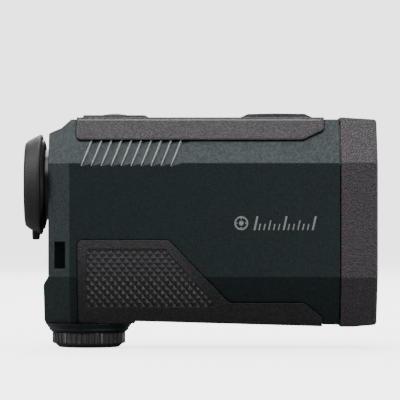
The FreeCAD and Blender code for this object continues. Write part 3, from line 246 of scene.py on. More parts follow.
def makeLeather():
    # pebbled grain of moulded rubber
    group, start, end = newGroup("rubberGrain", [
        ("Vector", "NodeSocketVector", None), ("Pebbles per metre", "NodeSocketFloat", 1500.0),
    ], [("Height", "NodeSocketFloat"), ("Tone", "NodeSocketFloat"), ("Pore", "NodeSocketFloat")])
    vector, density = start.outputs["Vector"], start.outputs["Pebbles per metre"]
    values = leatherGrain
    warp = group.nodes.new("ShaderNodeTexNoise")
    warp.inputs["Detail"].default_value = values["warpDetail"]
    group.links.new(vector, warp.inputs["Vector"])
    group.links.new(mathNode(group, "MULTIPLY", density, values["warpScale"]), warp.inputs["Scale"])
    shift = group.nodes.new("ShaderNodeVectorMath")
    shift.operation = "MULTIPLY_ADD"
    group.links.new(warp.outputs["Color"], shift.inputs[0])
    shift.inputs[1].default_value = (values["warpBy"],) * 3
    group.links.new(vector, shift.inputs[2])
    cells = group.nodes.new("ShaderNodeTexVoronoi")
    cells.feature = "SMOOTH_F1"
    cells.inputs["Smoothness"].default_value = values["smoothness"]
    group.links.new(shift.outputs[0], cells.inputs["Vector"])
    group.links.new(density, cells.inputs["Scale"])
    wrinkleDensity = mathNode(group, "MULTIPLY", density, values["wrinkleScale"])
    wrinkle = noiseNode(group, shift.outputs[0], wrinkleDensity, *values["wrinkle"])
    pebble = mathNode(group, "SUBTRACT", 1.0, cells.outputs["Distance"])
    height = mathNode(group, "ADD", mathNode(group, "MULTIPLY", pebble, values["pebbleShare"]),
                      mathNode(group, "MULTIPLY", wrinkle, values["wrinkleShare"]))
    group.links.new(height, end.inputs["Height"])
    group.links.new(spread(group, wrinkle, *values["tone"]), end.inputs["Tone"])
    group.links.new(spread(group, pebble, *values["pore"]), end.inputs["Pore"])
    return group


# edge mask settings; the tint this mask drives is partly wear, partly a painted edge highlight
rubbedAndHighlitEdge = {"samples": 4, "turn": (0.995, 0.9), "noise": (3.0, 0.6), "patches": (0.3, 0.62)}


def makeEdgeWearAndHighlight():
    # rubbed and rounded edges: a mask along them, whose lighter tint is partly wear and partly a
    # painted edge highlight, and the softened normal
    group, start, end = newGroup("edgeWearAndHighlight", [
        ("Vector", "NodeSocketVector", None), ("Radius", "NodeSocketFloat", 0.0004),
        ("Patches per metre", "NodeSocketFloat", 900.0),
    ], [("Edge", "NodeSocketFloat"), ("Normal", "NodeSocketVector")])
    soft = group.nodes.new("ShaderNodeBevel")
    soft.samples = rubbedAndHighlitEdge["samples"]
    group.links.new(start.outputs["Radius"], soft.inputs["Radius"])
    facing = group.nodes.new("ShaderNodeNewGeometry")
    dot = group.nodes.new("ShaderNodeVectorMath")
    dot.operation = "DOT_PRODUCT"
    group.links.new(soft.outputs["Normal"], dot.inputs[0])
    group.links.new(facing.outputs["Normal"], dot.inputs[1])
    edge = spread(group, dot.outputs["Value"], *rubbedAndHighlitEdge["turn"])
    patches = noiseNode(group, start.outputs["Vector"], start.outputs["Patches per metre"],
                        *rubbedAndHighlitEdge["noise"])
    broken = spread(group, patches, *rubbedAndHighlitEdge["patches"])
    group.links.new(mathNode(group, "MULTIPLY", edge, broken), end.inputs["Edge"])
    group.links.new(soft.outputs["Normal"], end.inputs["Normal"])
    return group


drawnLines = {"noise": (4.0, 0.6), "streak": (0.3, 0.7)}


def makeBrushed():
    # drawn-out lines of machined or rolled metal
    group, start, end = newGroup("brushedLines", [
        ("Vector", "NodeSocketVector", None), ("Stretch", "NodeSocketVector", (1.0, 1.0, 12.0)),
        ("Lines per metre", "NodeSocketFloat", 1200.0),
    ], [("Streak", "NodeSocketFloat"), ("Height", "NodeSocketFloat")])
    drawn = group.nodes.new("ShaderNodeVectorMath")
    drawn.operation = "MULTIPLY"
    group.links.new(start.outputs["Vector"], drawn.inputs[0])
    group.links.new(start.outputs["Stretch"], drawn.inputs[1])
    lines = noiseNode(group, drawn.outputs[0], start.outputs["Lines per metre"],
                      *drawnLines["noise"])
    group.links.new(spread(group, lines, *drawnLines["streak"]), end.inputs["Streak"])
    group.links.new(lines, end.inputs["Height"])
    return group


dustLayer = {"facing": (-0.2, 1.0, 0.25, 1.0), "noise": (6.0, 0.65), "patches": (0.42, 0.78)}


def makeDust():
    # a thin bloom of dust in patches, most of it on faces that look up
    group, start, end = newGroup("dustBloom", [
        ("Vector", "NodeSocketVector", None), ("Patches per metre", "NodeSocketFloat", 160.0),
    ], [("Dust", "NodeSocketFloat")])
    facing = group.nodes.new("ShaderNodeNewGeometry")
    parts = group.nodes.new("ShaderNodeSeparateXYZ")
    group.links.new(facing.outputs["Normal"], parts.inputs[0])
    up = spread(group, parts.outputs["Z"], *dustLayer["facing"])
    patches = noiseNode(group, start.outputs["Vector"], start.outputs["Patches per metre"],
                        *dustLayer["noise"])
    broken = spread(group, patches, *dustLayer["patches"])
    group.links.new(mathNode(group, "MULTIPLY", up, broken), end.inputs["Dust"])
    return group


speckle = makeSpeckle()
leather = makeLeather()
edgeWearAndHighlight = makeEdgeWearAndHighlight()
brushed = makeBrushed()
dustBloom = makeDust()
print("stage: shader groups ready")


# finishes

def newMaterial(name):
    material = bpy.data.materials.new(name)
    material.use_nodes = True
    tree = material.node_tree
    place = tree.nodes.new("ShaderNodeTexCoord").outputs["Object"]
    return material, tree, tree.nodes["Principled BSDF"], place


def useGroup(tree, group, place, **values):
    node = tree.nodes.new("ShaderNodeGroup")
    node.node_tree = group
    tree.links.new(place, node.inputs["Vector"])
    for label, value in values.items():
        node.inputs[label.replace("_", " ")].default_value = value
    return node


def blendColor(tree, mask, low, high):
    node = tree.nodes.new("ShaderNodeMix")
    node.data_type = "RGBA"
    tree.links.new(mask, node.inputs["Factor"])
    colorInputs = [socket for socket in node.inputs if socket.type == "RGBA"]
    for socket, color in zip(colorInputs, (low, high)):
        if isinstance(color, tuple):
            socket.default_value = (*color, 1)
        else:
            tree.links.new(color, socket)
    return [socket for socket in node.outputs if socket.type == "RGBA"][0]


def tintBy(tree, mask, share, low, high):
    return blendColor(tree, mathNode(tree, "MULTIPLY", mask, share), low, high)


def setGloss(tree, mask, atNone, atFull, shader):
    tree.links.new(spread(tree, mask, 0.0, 1.0, atNone, atFull), shader.inputs["Roughness"])


def bumpFrom(tree, height, distance, strength, normal=None):
    node = tree.nodes.new("ShaderNodeBump")
    node.inputs["Distance"].default_value = distance
    node.inputs["Strength"].default_value = strength
    tree.links.new(height, node.inputs["Height"])
    if normal is not None:
        tree.links.new(normal, node.inputs["Normal"])
    return node.outputs["Normal"]


paint = {
    "dark": (0.0002, 0.0015, 0.0022), "light": (0.0082, 0.0200, 0.0224),
    "wornAndHighlight": (0.055, 0.066, 0.068), "dust": (0.09, 0.095, 0.092),
    "grains": 2500.0, "grainDepth": 0.00012, "grainStrength": 0.75,
    "gloss": (0.38, 0.56), "sheen": 0.42, "sheenTint": (0.88, 0.98, 1.0), "edgeRadius": 0.00035,
    "cloudShare": 0.08, "edgeShare": 0.35, "dustShare": 0.05,
}


def paintedShell(name, values):
    material, tree, shader, place = newMaterial(name)
    grain = useGroup(tree, speckle, place, Grains_per_metre=values["grains"])
    wearAndHighlight = useGroup(tree, edgeWearAndHighlight, place, Radius=values["edgeRadius"])
    dust = useGroup(tree, dustBloom, place)
    body = blendColor(tree, grain.outputs["Fleck"], values["dark"], values["light"])
    clouded = tintBy(tree, grain.outputs["Cloud"], values["cloudShare"], body, values["light"])
    # lighter tint along the edges: partly wear, partly a painted edge highlight
    rubbedAndHighlit = tintBy(tree, wearAndHighlight.outputs["Edge"], values["edgeShare"], clouded, values["wornAndHighlight"])
    dusted = tintBy(tree, dust.outputs["Dust"], values["dustShare"], rubbedAndHighlit, values["dust"])
    tree.links.new(dusted, shader.inputs["Base Color"])
    shader.inputs["Specular IOR Level"].default_value = values["sheen"]
    shader.inputs["Specular Tint"].default_value = (*values["sheenTint"], 1)
    low, high = values["gloss"]
    setGloss(tree, grain.outputs["Fleck"], high, low, shader)
    normal = bumpFrom(tree, grain.outputs["Height"], values["grainDepth"], values["grainStrength"],
                      wearAndHighlight.outputs["Normal"])
    tree.links.new(normal, shader.inputs["Normal"])
    return material


rubber = {
    "dark": (0.0120, 0.0098, 0.0124), "light": (0.0400, 0.0340, 0.0412),
    "wornAndHighlight": (0.13, 0.122, 0.13), "dust": (0.12, 0.112, 0.118),
    "pebbles": 1700.0, "pebbleDepth": 0.00024, "pebbleStrength": 0.8,
    "gloss": (0.42, 0.66), "edgeRadius": 0.00110, "edgeShare": 0.3, "dustShare": 0.14,
    "dustPatches": 220.0,
}


def pebbledRubber(name, values):
    material, tree, shader, place = newMaterial(name)
    grain = useGroup(tree, leather, place, Pebbles_per_metre=values["pebbles"])
    wearAndHighlight = useGroup(tree, edgeWearAndHighlight, place, Radius=values["edgeRadius"])
    dust = useGroup(tree, dustBloom, place, Patches_per_metre=values["dustPatches"])
    body = blendColor(tree, grain.outputs["Tone"], values["dark"], values["light"])
    # lighter tint along the edges: partly wear, partly a painted edge highlight
    rubbedAndHighlit = tintBy(tree, wearAndHighlight.outputs["Edge"], values["edgeShare"], body, values["wornAndHighlight"])
    dusted = tintBy(tree, dust.outputs["Dust"], values["dustShare"], rubbedAndHighlit, values["dust"])
    tree.links.new(dusted, shader.inputs["Base Color"])
    low, high = values["gloss"]
    setGloss(tree, grain.outputs["Pore"], high, low, shader)
    normal = bumpFrom(tree, grain.outputs["Height"], values["pebbleDepth"],
                      values["pebbleStrength"], wearAndHighlight.outputs["Normal"])
    tree.links.new(normal, shader.inputs["Normal"])
    return material


metalWork = {
    "steel": {"dark": (0.34, 0.34, 0.335), "light": (0.66, 0.66, 0.65),
              "gloss": (0.24, 0.42), "metal": 1.0},
    "nickel": {"dark": (0.42, 0.40, 0.37), "light": (0.74, 0.71, 0.66),
               "gloss": (0.18, 0.34), "metal": 1.0},
    "brass": {"dark": (0.50, 0.36, 0.14), "light": (0.80, 0.62, 0.30),
              "gloss": (0.25, 0.42), "metal": 1.0},
    "anodised_black": {"dark": (0.010, 0.010, 0.011), "light": (0.026, 0.026, 0.028),
                       "gloss": (0.34, 0.5), "metal": 0.0},
}
metalTouch = {
    "stretch": (14.0, 1.0, 1.0), "lines": 900.0, "lineDepth": 0.00002, "lineStrength": 0.35,
    "edgeRadius": 0.00012, "edgeShare": 0.3, "dustPatches": 400.0, "stainShare": 0.15,
}


def turnedMetal(name, values):
    material, tree, shader, place = newMaterial(name)
    touch = metalTouch
    lines = useGroup(tree, brushed, place, Stretch=touch["stretch"], Lines_per_metre=touch["lines"])
    wearAndHighlight = useGroup(tree, edgeWearAndHighlight, place, Radius=touch["edgeRadius"])
    dust = useGroup(tree, dustBloom, place, Patches_per_metre=touch["dustPatches"])
    body = blendColor(tree, lines.outputs["Streak"], values["dark"], values["light"])
    # lighter tint along the edges: partly wear, partly a painted edge highlight
    edged = tintBy(tree, wearAndHighlight.outputs["Edge"], touch["edgeShare"], body, values["light"])
    stained = tintBy(tree, dust.outputs["Dust"], touch["stainShare"], edged, values["dark"])
    tree.links.new(stained, shader.inputs["Base Color"])
    low, high = values["gloss"]
    setGloss(tree, lines.outputs["Streak"], low, high, shader)
    normal = bumpFrom(tree, lines.outputs["Height"], touch["lineDepth"], touch["lineStrength"],
                      wearAndHighlight.outputs["Normal"])
    tree.links.new(normal, shader.inputs["Normal"])
    shader.inputs["Metallic"].default_value = values["metal"]
    return material


plasticWork = {
    "black_plastic": {"dark": (0.0085, 0.0080, 0.0088), "light": (0.0190, 0.0180, 0.0195),
                      "wornAndHighlight": (0.06, 0.058, 0.06), "grains": 3200.0, "gloss": (0.30, 0.46)},
    "chip_black": {"dark": (0.010, 0.010, 0.012), "light": (0.024, 0.024, 0.026),
                   "wornAndHighlight": (0.05, 0.05, 0.05), "grains": 6000.0, "gloss": (0.4, 0.55)},
    "seal_rubber": {"dark": (0.008, 0.008, 0.008), "light": (0.016, 0.016, 0.017),
                    "wornAndHighlight": (0.03, 0.03, 0.03), "grains": 2000.0, "gloss": (0.55, 0.75)},
    "board_green": {"dark": (0.010, 0.085, 0.040), "light": (0.022, 0.150, 0.075),
                    "wornAndHighlight": (0.12, 0.25, 0.16), "grains": 900.0, "gloss": (0.2, 0.32)},
    "flex_amber": {"dark": (0.33, 0.14, 0.02), "light": (0.50, 0.25, 0.05),
                   "wornAndHighlight": (0.6, 0.35, 0.1), "grains": 700.0, "gloss": (0.18, 0.3)},
    "ribbed_cap": {"dark": (0.026, 0.023, 0.027), "light": (0.056, 0.050, 0.057),
                   "wornAndHighlight": (0.20, 0.19, 0.20), "grains": 2600.0, "gloss": (0.18, 0.30)},
    "cell_sleeve": {"dark": (0.035, 0.036, 0.042), "light": (0.062, 0.063, 0.070),
                    "wornAndHighlight": (0.3, 0.3, 0.3), "grains": 800.0, "gloss": (0.16, 0.28)},
}
plasticTouch = {
    "edgeRadius": 0.00025, "edgeShare": 0.3, "grainDepth": 0.00003, "grainStrength": 0.3,
}


def mouldedPlastic(name, values):
    material, tree, shader, place = newMaterial(name)
    grain = useGroup(tree, speckle, place, Grains_per_metre=values["grains"])
    wearAndHighlight = useGroup(tree, edgeWearAndHighlight, place, Radius=plasticTouch["edgeRadius"])
    body = blendColor(tree, grain.outputs["Fleck"], values["dark"], values["light"])
    # lighter tint along the edges: partly wear, partly a painted edge highlight
    rubbedAndHighlit = tintBy(tree, wearAndHighlight.outputs["Edge"], plasticTouch["edgeShare"], body, values["wornAndHighlight"])
    tree.links.new(rubbedAndHighlit, shader.inputs["Base Color"])
    low, high = values["gloss"]
    setGloss(tree, grain.outputs["Cloud"], low, high, shader)
    normal = bumpFrom(tree, grain.outputs["Height"], plasticTouch["grainDepth"],
                      plasticTouch["grainStrength"], wearAndHighlight.outputs["Normal"])
    tree.links.new(normal, shader.inputs["Normal"])
    return material


glassWork = {
    "lens_glass": {"low": (0.80, 0.88, 0.94), "high": (0.90, 0.86, 0.97),
                   "film": 430.0, "index": 1.58},
    "prism_glass": {"low": (0.88, 0.93, 0.92), "high": (0.94, 0.96, 0.95),
                    "film": 0.0, "index": 1.52},
    "display_glass": {"low": (0.22, 0.28, 0.24), "high": (0.34, 0.38, 0.33),
                      "film": 0.0, "index": 1.5},
}
glassTouch = {
    "drift": (60.0, 2.0), "driftEnds": (0.3, 0.7),
    "specks": (2400.0, 5.0, 0.7), "speckGloss": (0.6, 0.8, 0.015, 0.09), "filmIndex": 1.38,
}


def coatedGlass(name, values):
    # clear glass, its coating tint drifting a little over the surface, with faint dust
    material, tree, shader, place = newMaterial(name)
    drift = noiseNode(tree, place, *glassTouch["drift"])
    specks = noiseNode(tree, place, *glassTouch["specks"])
    drifting = spread(tree, drift, *glassTouch["driftEnds"])
    tinted = blendColor(tree, drifting, values["low"], values["high"])
    tree.links.new(tinted, shader.inputs["Base Color"])
    tree.links.new(spread(tree, specks, *glassTouch["speckGloss"]), shader.inputs["Roughness"])
    shader.inputs["Transmission Weight"].default_value = 1.0
    shader.inputs["IOR"].default_value = values["index"]
    shader.inputs["Thin Film Thickness"].default_value = values["film"]
    shader.inputs["Thin Film IOR"].default_value = glassTouch["filmIndex"]
    return material


buttonRubber = dict(rubber, dark=(0.020, 0.018, 0.020), light=(0.040, 0.037, 0.041),
                    pebbles=2600.0, pebbleDepth=0.00007)
gripRubber = dict(rubber, dark=(0.0040, 0.0032, 0.0042), light=(0.0360, 0.0305, 0.0372),
                  dustShare=0.08, pebbleStrength=1.0, edgeRadius=0.00035)
latticeRubber = dict(rubber, dark=(0.0150, 0.0128, 0.0155), light=(0.0270, 0.0232, 0.0280),
                     dustShare=0.05, pebbles=2600.0, pebbleStrength=0.2, edgeRadius=0.00012,
                     gloss=(0.36, 0.5))
# a lighter copy of the armour rubber: its raised tones are painted light falling on the bezel
bezelRubberLit = dict(rubber, dark=(0.0170, 0.0140, 0.0176), light=(0.0720, 0.0620, 0.0740),
                   pebbleDepth=0.00036, pebbleStrength=1.0, edgeRadius=0.0006)

looks = {"shell_green": paintedShell("greenShellPaint", paint),
         "armour_rubber": pebbledRubber("pebbledArmour", rubber),
         "button_rubber": pebbledRubber("buttonRubber", buttonRubber)}
for slot, values in metalWork.items():
    looks[slot] = turnedMetal(slot.replace("_", "") + "Metal", values)
for slot, values in plasticWork.items():
    looks[slot] = mouldedPlastic(slot.replace("_", "") + "Moulded", values)
for slot, values in glassWork.items():
    looks[slot] = coatedGlass(slot.replace("_", "") + "Coated", values)
looks["grip"] = pebbledRubber("gripRubber", gripRubber)
looks["lattice"] = pebbledRubber("latticeRubber", latticeRubber)
looks["bezel"] = pebbledRubber("bezelRubberLit", bezelRubberLit)

slotOf = {part["node"]: part["material_slot"] for part in frame["record"]["subparts"]}
ownLook = {"grip_armour": "grip", "front_bezel": "bezel", "battery_cap": "ribbed_cap"}
for name, thing in nodes.items():
    thing.data.materials.clear()
    thing.data.materials.append(looks[ownLook.get(name, slotOf[name])])
print("stage: finishes on", len(nodes), "nodes")


# softened edges on the moulded rubber

softEdges = {                                # width in millimetres, least angle in degrees
    "top_armour": (0.45, 35), "grip_armour": (0.2, 35), "front_bezel": (0.35, 20),
    "power_button": (0.25, 35), "mode_button": (0.25, 35),
}
edgeTouch = {"weld": 0.000002, "segments": 3}


def softenEdges(name, width, angle):
    thing = nodes[name]
    weld = thing.modifiers.new("joinSeams", "WELD")
    weld.merge_threshold = edgeTouch["weld"]
    bevel = thing.modifiers.new("softEdge", "BEVEL")
    bevel.width = width * mm
    bevel.segments = edgeTouch["segments"]
    bevel.limit_method = "ANGLE"
    bevel.angle_limit = math.radians(angle)
    bevel.use_clamp_overlap = True
    even = thing.modifiers.new("evenShade", "WEIGHTED_NORMAL")
    even.keep_sharp = False


for name, (width, angle) in softEdges.items():
    softenEdges(name, width, angle)
print("stage: rubber edges softened")


# helpers for pieces

def linkPiece(name, mesh, material, body):
    piece = bpy.data.objects.new(name, mesh)
    bpy.context.scene.collection.objects.link(piece)
    mesh.materials.append(looks[material] if isinstance(material, str) else material)
    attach(piece, body)
    return piece


def smoothFaces(mesh, angle):
    mesh.shade_smooth()
    mesh.set_sharp_from_angle(angle=math.radians(angle))


def bmeshToMesh(bm, name):
    bmesh.ops.recalc_face_normals(bm, faces=bm.faces)
    mesh = bpy.data.meshes.new(name)
    bm.to_mesh(mesh)
    bm.free()
    return mesh


def skinRings(bm, rings, closed=False):
    # faces from ring to ring; an open run gets a cap at each end
    following = rings[1:] + rings[:1] if closed else rings[1:]
    for near, far in zip(rings, following):
        for index in range(len(near)):
            after = (index + 1) % len(near)
            bm.faces.new((near[index], near[after], far[after], far[index]))
    if not closed:
        bm.faces.new(rings[0])
        bm.faces.new(rings[-1])


def arcOutlines(outer, inner, start, sweep, pieces, centre=(0, 0)):
    # the short flat pieces that make up an arc, in millimetres and degrees
    outlines = []
    for index in range(pieces):
        after = index + 1
        corners = []
        for radius, step in ((outer, index), (outer, after), (inner, after), (inner, index)):
            angle = math.radians(start + sweep * step / pieces)
            corners.append((centre[0] + radius * math.cos(angle),
                            centre[1] + radius * math.sin(angle)))
        outlines.append(corners)
    return outlines


snapGap = 1e-7                           # metres; points closer than this are one
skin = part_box("right_shell")[0].y        # the flat of the right side
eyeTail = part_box("eyecup")[0].x
eyeHeight = (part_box("eye_lens")[0].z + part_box("eye_lens")[1].z) / 2


# diamond texture sunk in each side of the grip

gripTexture = {
    "halfWide": 1.215 * mm, "halfTall": 1.38 * mm, "rise": 0.42 * mm, "tip": 0.14,
    "floor": 0.15 * mm,                      # how far the panel's floor stands out of the shell
    "rimSink": 0.06 * mm,                    # how far the rim goes below that floor
    "fold": 22.36 * mm, "slope": 8.4 / 15.1,  # the lower facet leans in below the fold
    "corners": [(-35.0, 13.1), (-35.0, 31.0), (-10.95, 31.0), (5.15, 13.1)],
    "round": 1.1,
    "turnFrom": 28.0 * mm, "turnTo": 12.0 * mm,  # the shading turns over this height
    "turnShare": 0.85,
}


def cutOutline(bm, corners, radius):
    # keeps what lies inside a convex outline with cut corners
    planes = []
    count = len(corners)
    for index in range(count):
        here, after = Vector(corners[index]), Vector(corners[(index + 1) % count])
        before = Vector(corners[index - 1])
        along = (after - here).normalized()
        planes.append((here, Vector((-along.y, along.x))))
        back = (before - here).normalized()
        inward = (along + back).normalized()
        half = math.acos(max(-1, min(1, along.dot(back)))) / 2
        centre = here + inward * radius / math.sin(half)
        for turn in (-0.5, 0, 0.5):
            spin = (math.pi / 2 - half) * turn
            outward = Vector((-inward.x * math.cos(spin) + inward.y * math.sin(spin),
                              -inward.x * math.sin(spin) - inward.y * math.cos(spin)))
            planes.append((centre + outward * radius, outward))
    for point, outward in planes:
        geometry = bm.verts[:] + bm.edges[:] + bm.faces[:]
        bmesh.ops.bisect_plane(bm, geom=geometry, dist=snapGap,
                               plane_co=(point.x * mm, 0, point.y * mm),
                               plane_no=(outward.x, 0, outward.y), clear_outer=True)


def roundTheFold(mesh, side, lean):
    # the moulded panel turns under gently, so its facets are shaded along a curve
    values = gripTexture
    normals = []
    for polygon in mesh.polygons:
        height = polygon.center.z
        share = (values["turnFrom"] - height) / (values["turnFrom"] - values["turnTo"])
        share = max(0.0, min(1.0, share))
        wanted = lean * values["turnShare"] * share
        actual = lean if height < values["fold"] else 0.0
        turned = Matrix.Rotation(side * (actual - wanted), 3, "X") @ polygon.normal
        normals += [turned] * polygon.loop_total
    mesh.shade_smooth()
    mesh.normals_split_custom_set(normals)


def makeGripTexture(name, side):
    bm = bmesh.new()
    wide, tall, rise, tip = (gripTexture[key] for key in ("halfWide", "halfTall", "rise", "tip"))
    corners = gripTexture["corners"]
    left = min(x for x, z in corners) * mm - 2 * wide
    right = max(x for x, z in corners) * mm + 2 * wide
    foot = min(z for x, z in corners) * mm - 2 * tall
    head = max(z for x, z in corners) * mm + 2 * tall
    diamond = ((-wide, 0), (0, tall), (wide, 0), (0, -tall))
    row = 0
    z = foot
    while z < head:
        x = left + (wide if row % 2 else 0)
        while x < right:
            rim = [bm.verts.new((x + dx, 0, z + dz)) for dx, dz in diamond]
            crown = [bm.verts.new((x + dx * tip, rise, z + dz * tip)) for dx, dz in diamond]
            for index in range(4):
                after = (index + 1) % 4
                bm.faces.new((rim[index], rim[after], crown[after], crown[index]))
            bm.faces.new(crown)
            x += 2 * wide
        z += tall
        row += 1
    bmesh.ops.remove_doubles(bm, verts=bm.verts, dist=snapGap)
    cutOutline(bm, corners, gripTexture["round"])
    fold = gripTexture["fold"]
    bmesh.ops.bisect_plane(bm, geom=bm.verts[:] + bm.edges[:] + bm.faces[:], dist=snapGap,
                           plane_co=(0, 0, fold), plane_no=(0, 0, 1))
    rimEdges = [edge for edge in bm.edges if edge.is_boundary]
    sunk = bmesh.ops.extrude_edge_only(bm, edges=rimEdges)["geom"]
    for vertex in sunk:
        if isinstance(vertex, bmesh.types.BMVert):
            vertex.co.y = -gripTexture["rimSink"]
    lean = math.atan(gripTexture["slope"])
    for vertex in bm.verts:
        out = vertex.co.y
        base = -skin + gripTexture["floor"]
        drop = max(0.0, fold - vertex.co.z)
        share = 1.0 if drop > 0 else 0.0
        vertex.co.z -= out * math.sin(lean) * share
        reach = out * (math.cos(lean) if share else 1.0)
        vertex.co.y = side * (base - drop * gripTexture["slope"] + reach)
    mesh = bmeshToMesh(bm, name)
    roundTheFold(mesh, side, lean)
    linkPiece(name, mesh, "lattice", "housing")


makeGripTexture("gripTextureRight", -1)
makeGripTexture("gripTextureLeft", 1)
print("stage: grip texture made")


# rounded bead along the armour's upper edges, its pale tone a painted highlight on the rounded edge

armourBead = {
    "radius": 0.6 * mm, "inset": 0.523, "drop": 0.75, "sides": 14,
    "lean": 29.3,                            # half the turn between the top and the upper facet
    "endGap": 0.3 * mm, "taper": 1.2 * mm,
    "ends": ((0.0, 0.72), (0.3, 0.9), (1.0, 1.0)),  # share of the taper, share of the radius
    "band": 1.0 * mm, "flat": 0.03 * mm,     # where the armour's own edge is measured
    # the pale tones paint the highlight of the rounded edge
    "finish": dict(rubber, dark=(0.090, 0.084, 0.092), light=(0.150, 0.142, 0.153),
                   pebbleStrength=0.3, gloss=(0.28, 0.40)),
}


def makeArmourBeads():
    values = armourBead
    points = [vertex.co for vertex in nodes["top_armour"].data.vertices]
    rearEnd, frontEnd = min(point.x for point in points), max(point.x for point in points)
    edgeBand = [point for point in points if point.x < rearEnd + values["band"]]
    crown = max(point.z for point in edgeBand)
    edge = max(abs(point.y) for point in edgeBand if point.z > crown - values["flat"])
    lean = math.radians(values["lean"])
    inset = values["inset"] / math.cos(lean) * mm
    centreY = edge - inset * math.sin(lean) + values["drop"] * mm * math.cos(2 * lean)
    centreZ = crown - inset * math.cos(lean) - values["drop"] * mm * math.sin(2 * lean)
    stations = [(rearEnd + along * values["taper"] + values["endGap"], size)
                for along, size in values["ends"]]
    stations += [(frontEnd - along * values["taper"] - values["endGap"], size)
                 for along, size in reversed(values["ends"])]
    bm = bmesh.new()
    for side in (-1, 1):
        rings = []
        for x, size in stations:
            ring = []
            for index in range(values["sides"]):
                turn = 2 * math.pi * index / values["sides"]
                radius = values["radius"] * size
                y, z = centreY + radius * math.cos(turn), centreZ + radius * math.sin(turn)
                ring.append(bm.verts.new((x, side * y, z)))
            rings.append(ring)
        skinRings(bm, rings)
    mesh = bmeshToMesh(bm, "armourBeads")
    smoothFaces(mesh, 50)
    finish = pebbledRubber("armourEdgePaintedHighlight", values["finish"])
    linkPiece("armourBeads", mesh, finish, "housing")


makeArmourBeads()
print("stage: armour beads made")


# pale edges of the louvers; their pale tone is a painted highlight on each step wall

louverEdge = {
    "count": 10, "pitch": 3.08, "first": -37.75, "foot": 54.0, "lean": 20.7,
    "top": 64.75, "bottom": 56.75, "depth": 0.5, "wide": 0.32, "proud": 0.07,
    "steps": 9, "footShare": 0.25, "widen": 1.5,    # each edge is narrow at its foot
    "back": -0.10, "crest": 0.06, "crestOver": 0.05, "frontShare": 0.75,
    "turn": 57.6, "slope": 8.4 / 13.75,      # the upper facet leans in above the turn
    "flatOver": 0.02,
    # pale tones paint the highlight of the step walls
    "tones": ((0.34, 0.34, 0.35), (0.52, 0.52, 0.53)),
}


def makeLouverEdges(name, side, material):
    bm = bmesh.new()
    values = louverEdge
    normalY, normalZ = math.cos(math.atan(values["slope"])), math.sin(math.atan(values["slope"]))
    drift = math.tan(math.radians(values["lean"]))
    last = values["steps"] - 1
    for tooth in range(values["count"]):
        rings = []
        for step in range(values["steps"]):
            z = values["bottom"] + (values["top"] - values["bottom"]) * step / last
            front = values["wide"] * min(1.0, values["footShare"] + values["widen"] * step / last)
            x = values["first"] + tooth * values["pitch"] + (z - values["foot"]) * drift
            flat = -skin / mm - (z - values["turn"]) * values["slope"]
            flat = min(flat, -skin / mm + values["flatOver"])
            section = ((values["back"], -values["depth"]), (values["back"], values["proud"]),
                       (values["crest"], values["proud"] + values["crestOver"]),
                       (front, -values["depth"] * values["frontShare"]), (front, -values["depth"]))
            ring = []
            for dx, out in section:
                y = side * (flat + out * normalY)
                ring.append(bm.verts.new((x * mm + dx * mm, y * mm, (z + out * normalZ) * mm)))
            rings.append(ring)
        skinRings(bm, rings)
    linkPiece(name, bmeshToMesh(bm, name), material, "housing")


paleTouch = {"grains": 3000.0, "gloss": (0.4, 0.55), "grainDepth": 0.00004, "grainStrength": 0.3}


def palePaint(name, low, high):
    # thin pale ink, and on the louvers a painted highlight along each edge, broken up by the
    # texture under it
    material, tree, shader, place = newMaterial(name)
    grain = useGroup(tree, speckle, place, Grains_per_metre=paleTouch["grains"])
    tree.links.new(blendColor(tree, grain.outputs["Fleck"], low, high), shader.inputs["Base Color"])
    setGloss(tree, grain.outputs["Cloud"], *paleTouch["gloss"], shader)
    normal = bumpFrom(tree, grain.outputs["Height"], paleTouch["grainDepth"],
                      paleTouch["grainStrength"])
    tree.links.new(normal, shader.inputs["Normal"])
    return material


paleEdgeHighlight = palePaint("paleEdgeHighlight", *louverEdge["tones"])
makeLouverEdges("louverEdgesRight", -1, paleEdgeHighlight)
makeLouverEdges("louverEdgesLeft", 1, paleEdgeHighlight)
print("stage: louver edges made")


# printed mark on each side: a target ring and a distance scale

printMark = {
    "left": 10.6, "right": 35.7, "foot": 36.9, "footLeft": 44.0, "height": 4.3, "italic": 0.22,
    "thick": 0.05, "sink": 0.02,
    "ringWide": 0.5, "ringPieces": 40, "dot": (0.75, 0.02), "dotPieces": 16,
    "arm": (0.95, 0.45), "armHalf": 0.22,    # how far inside the ring each arm starts and ends
    "gap": 1.6, "endGap": 1.2, "tickWide": 0.42, "longTickWide": 0.62,
    "ticks": (1.0, 0.45, 0.45, 0.7, 0.45, 0.45, 1.0, 0.45, 0.45, 0.7, 0.45, 0.45, 1.0),
    "tones": ((0.19, 0.195, 0.20), (0.29, 0.295, 0.30)),
}


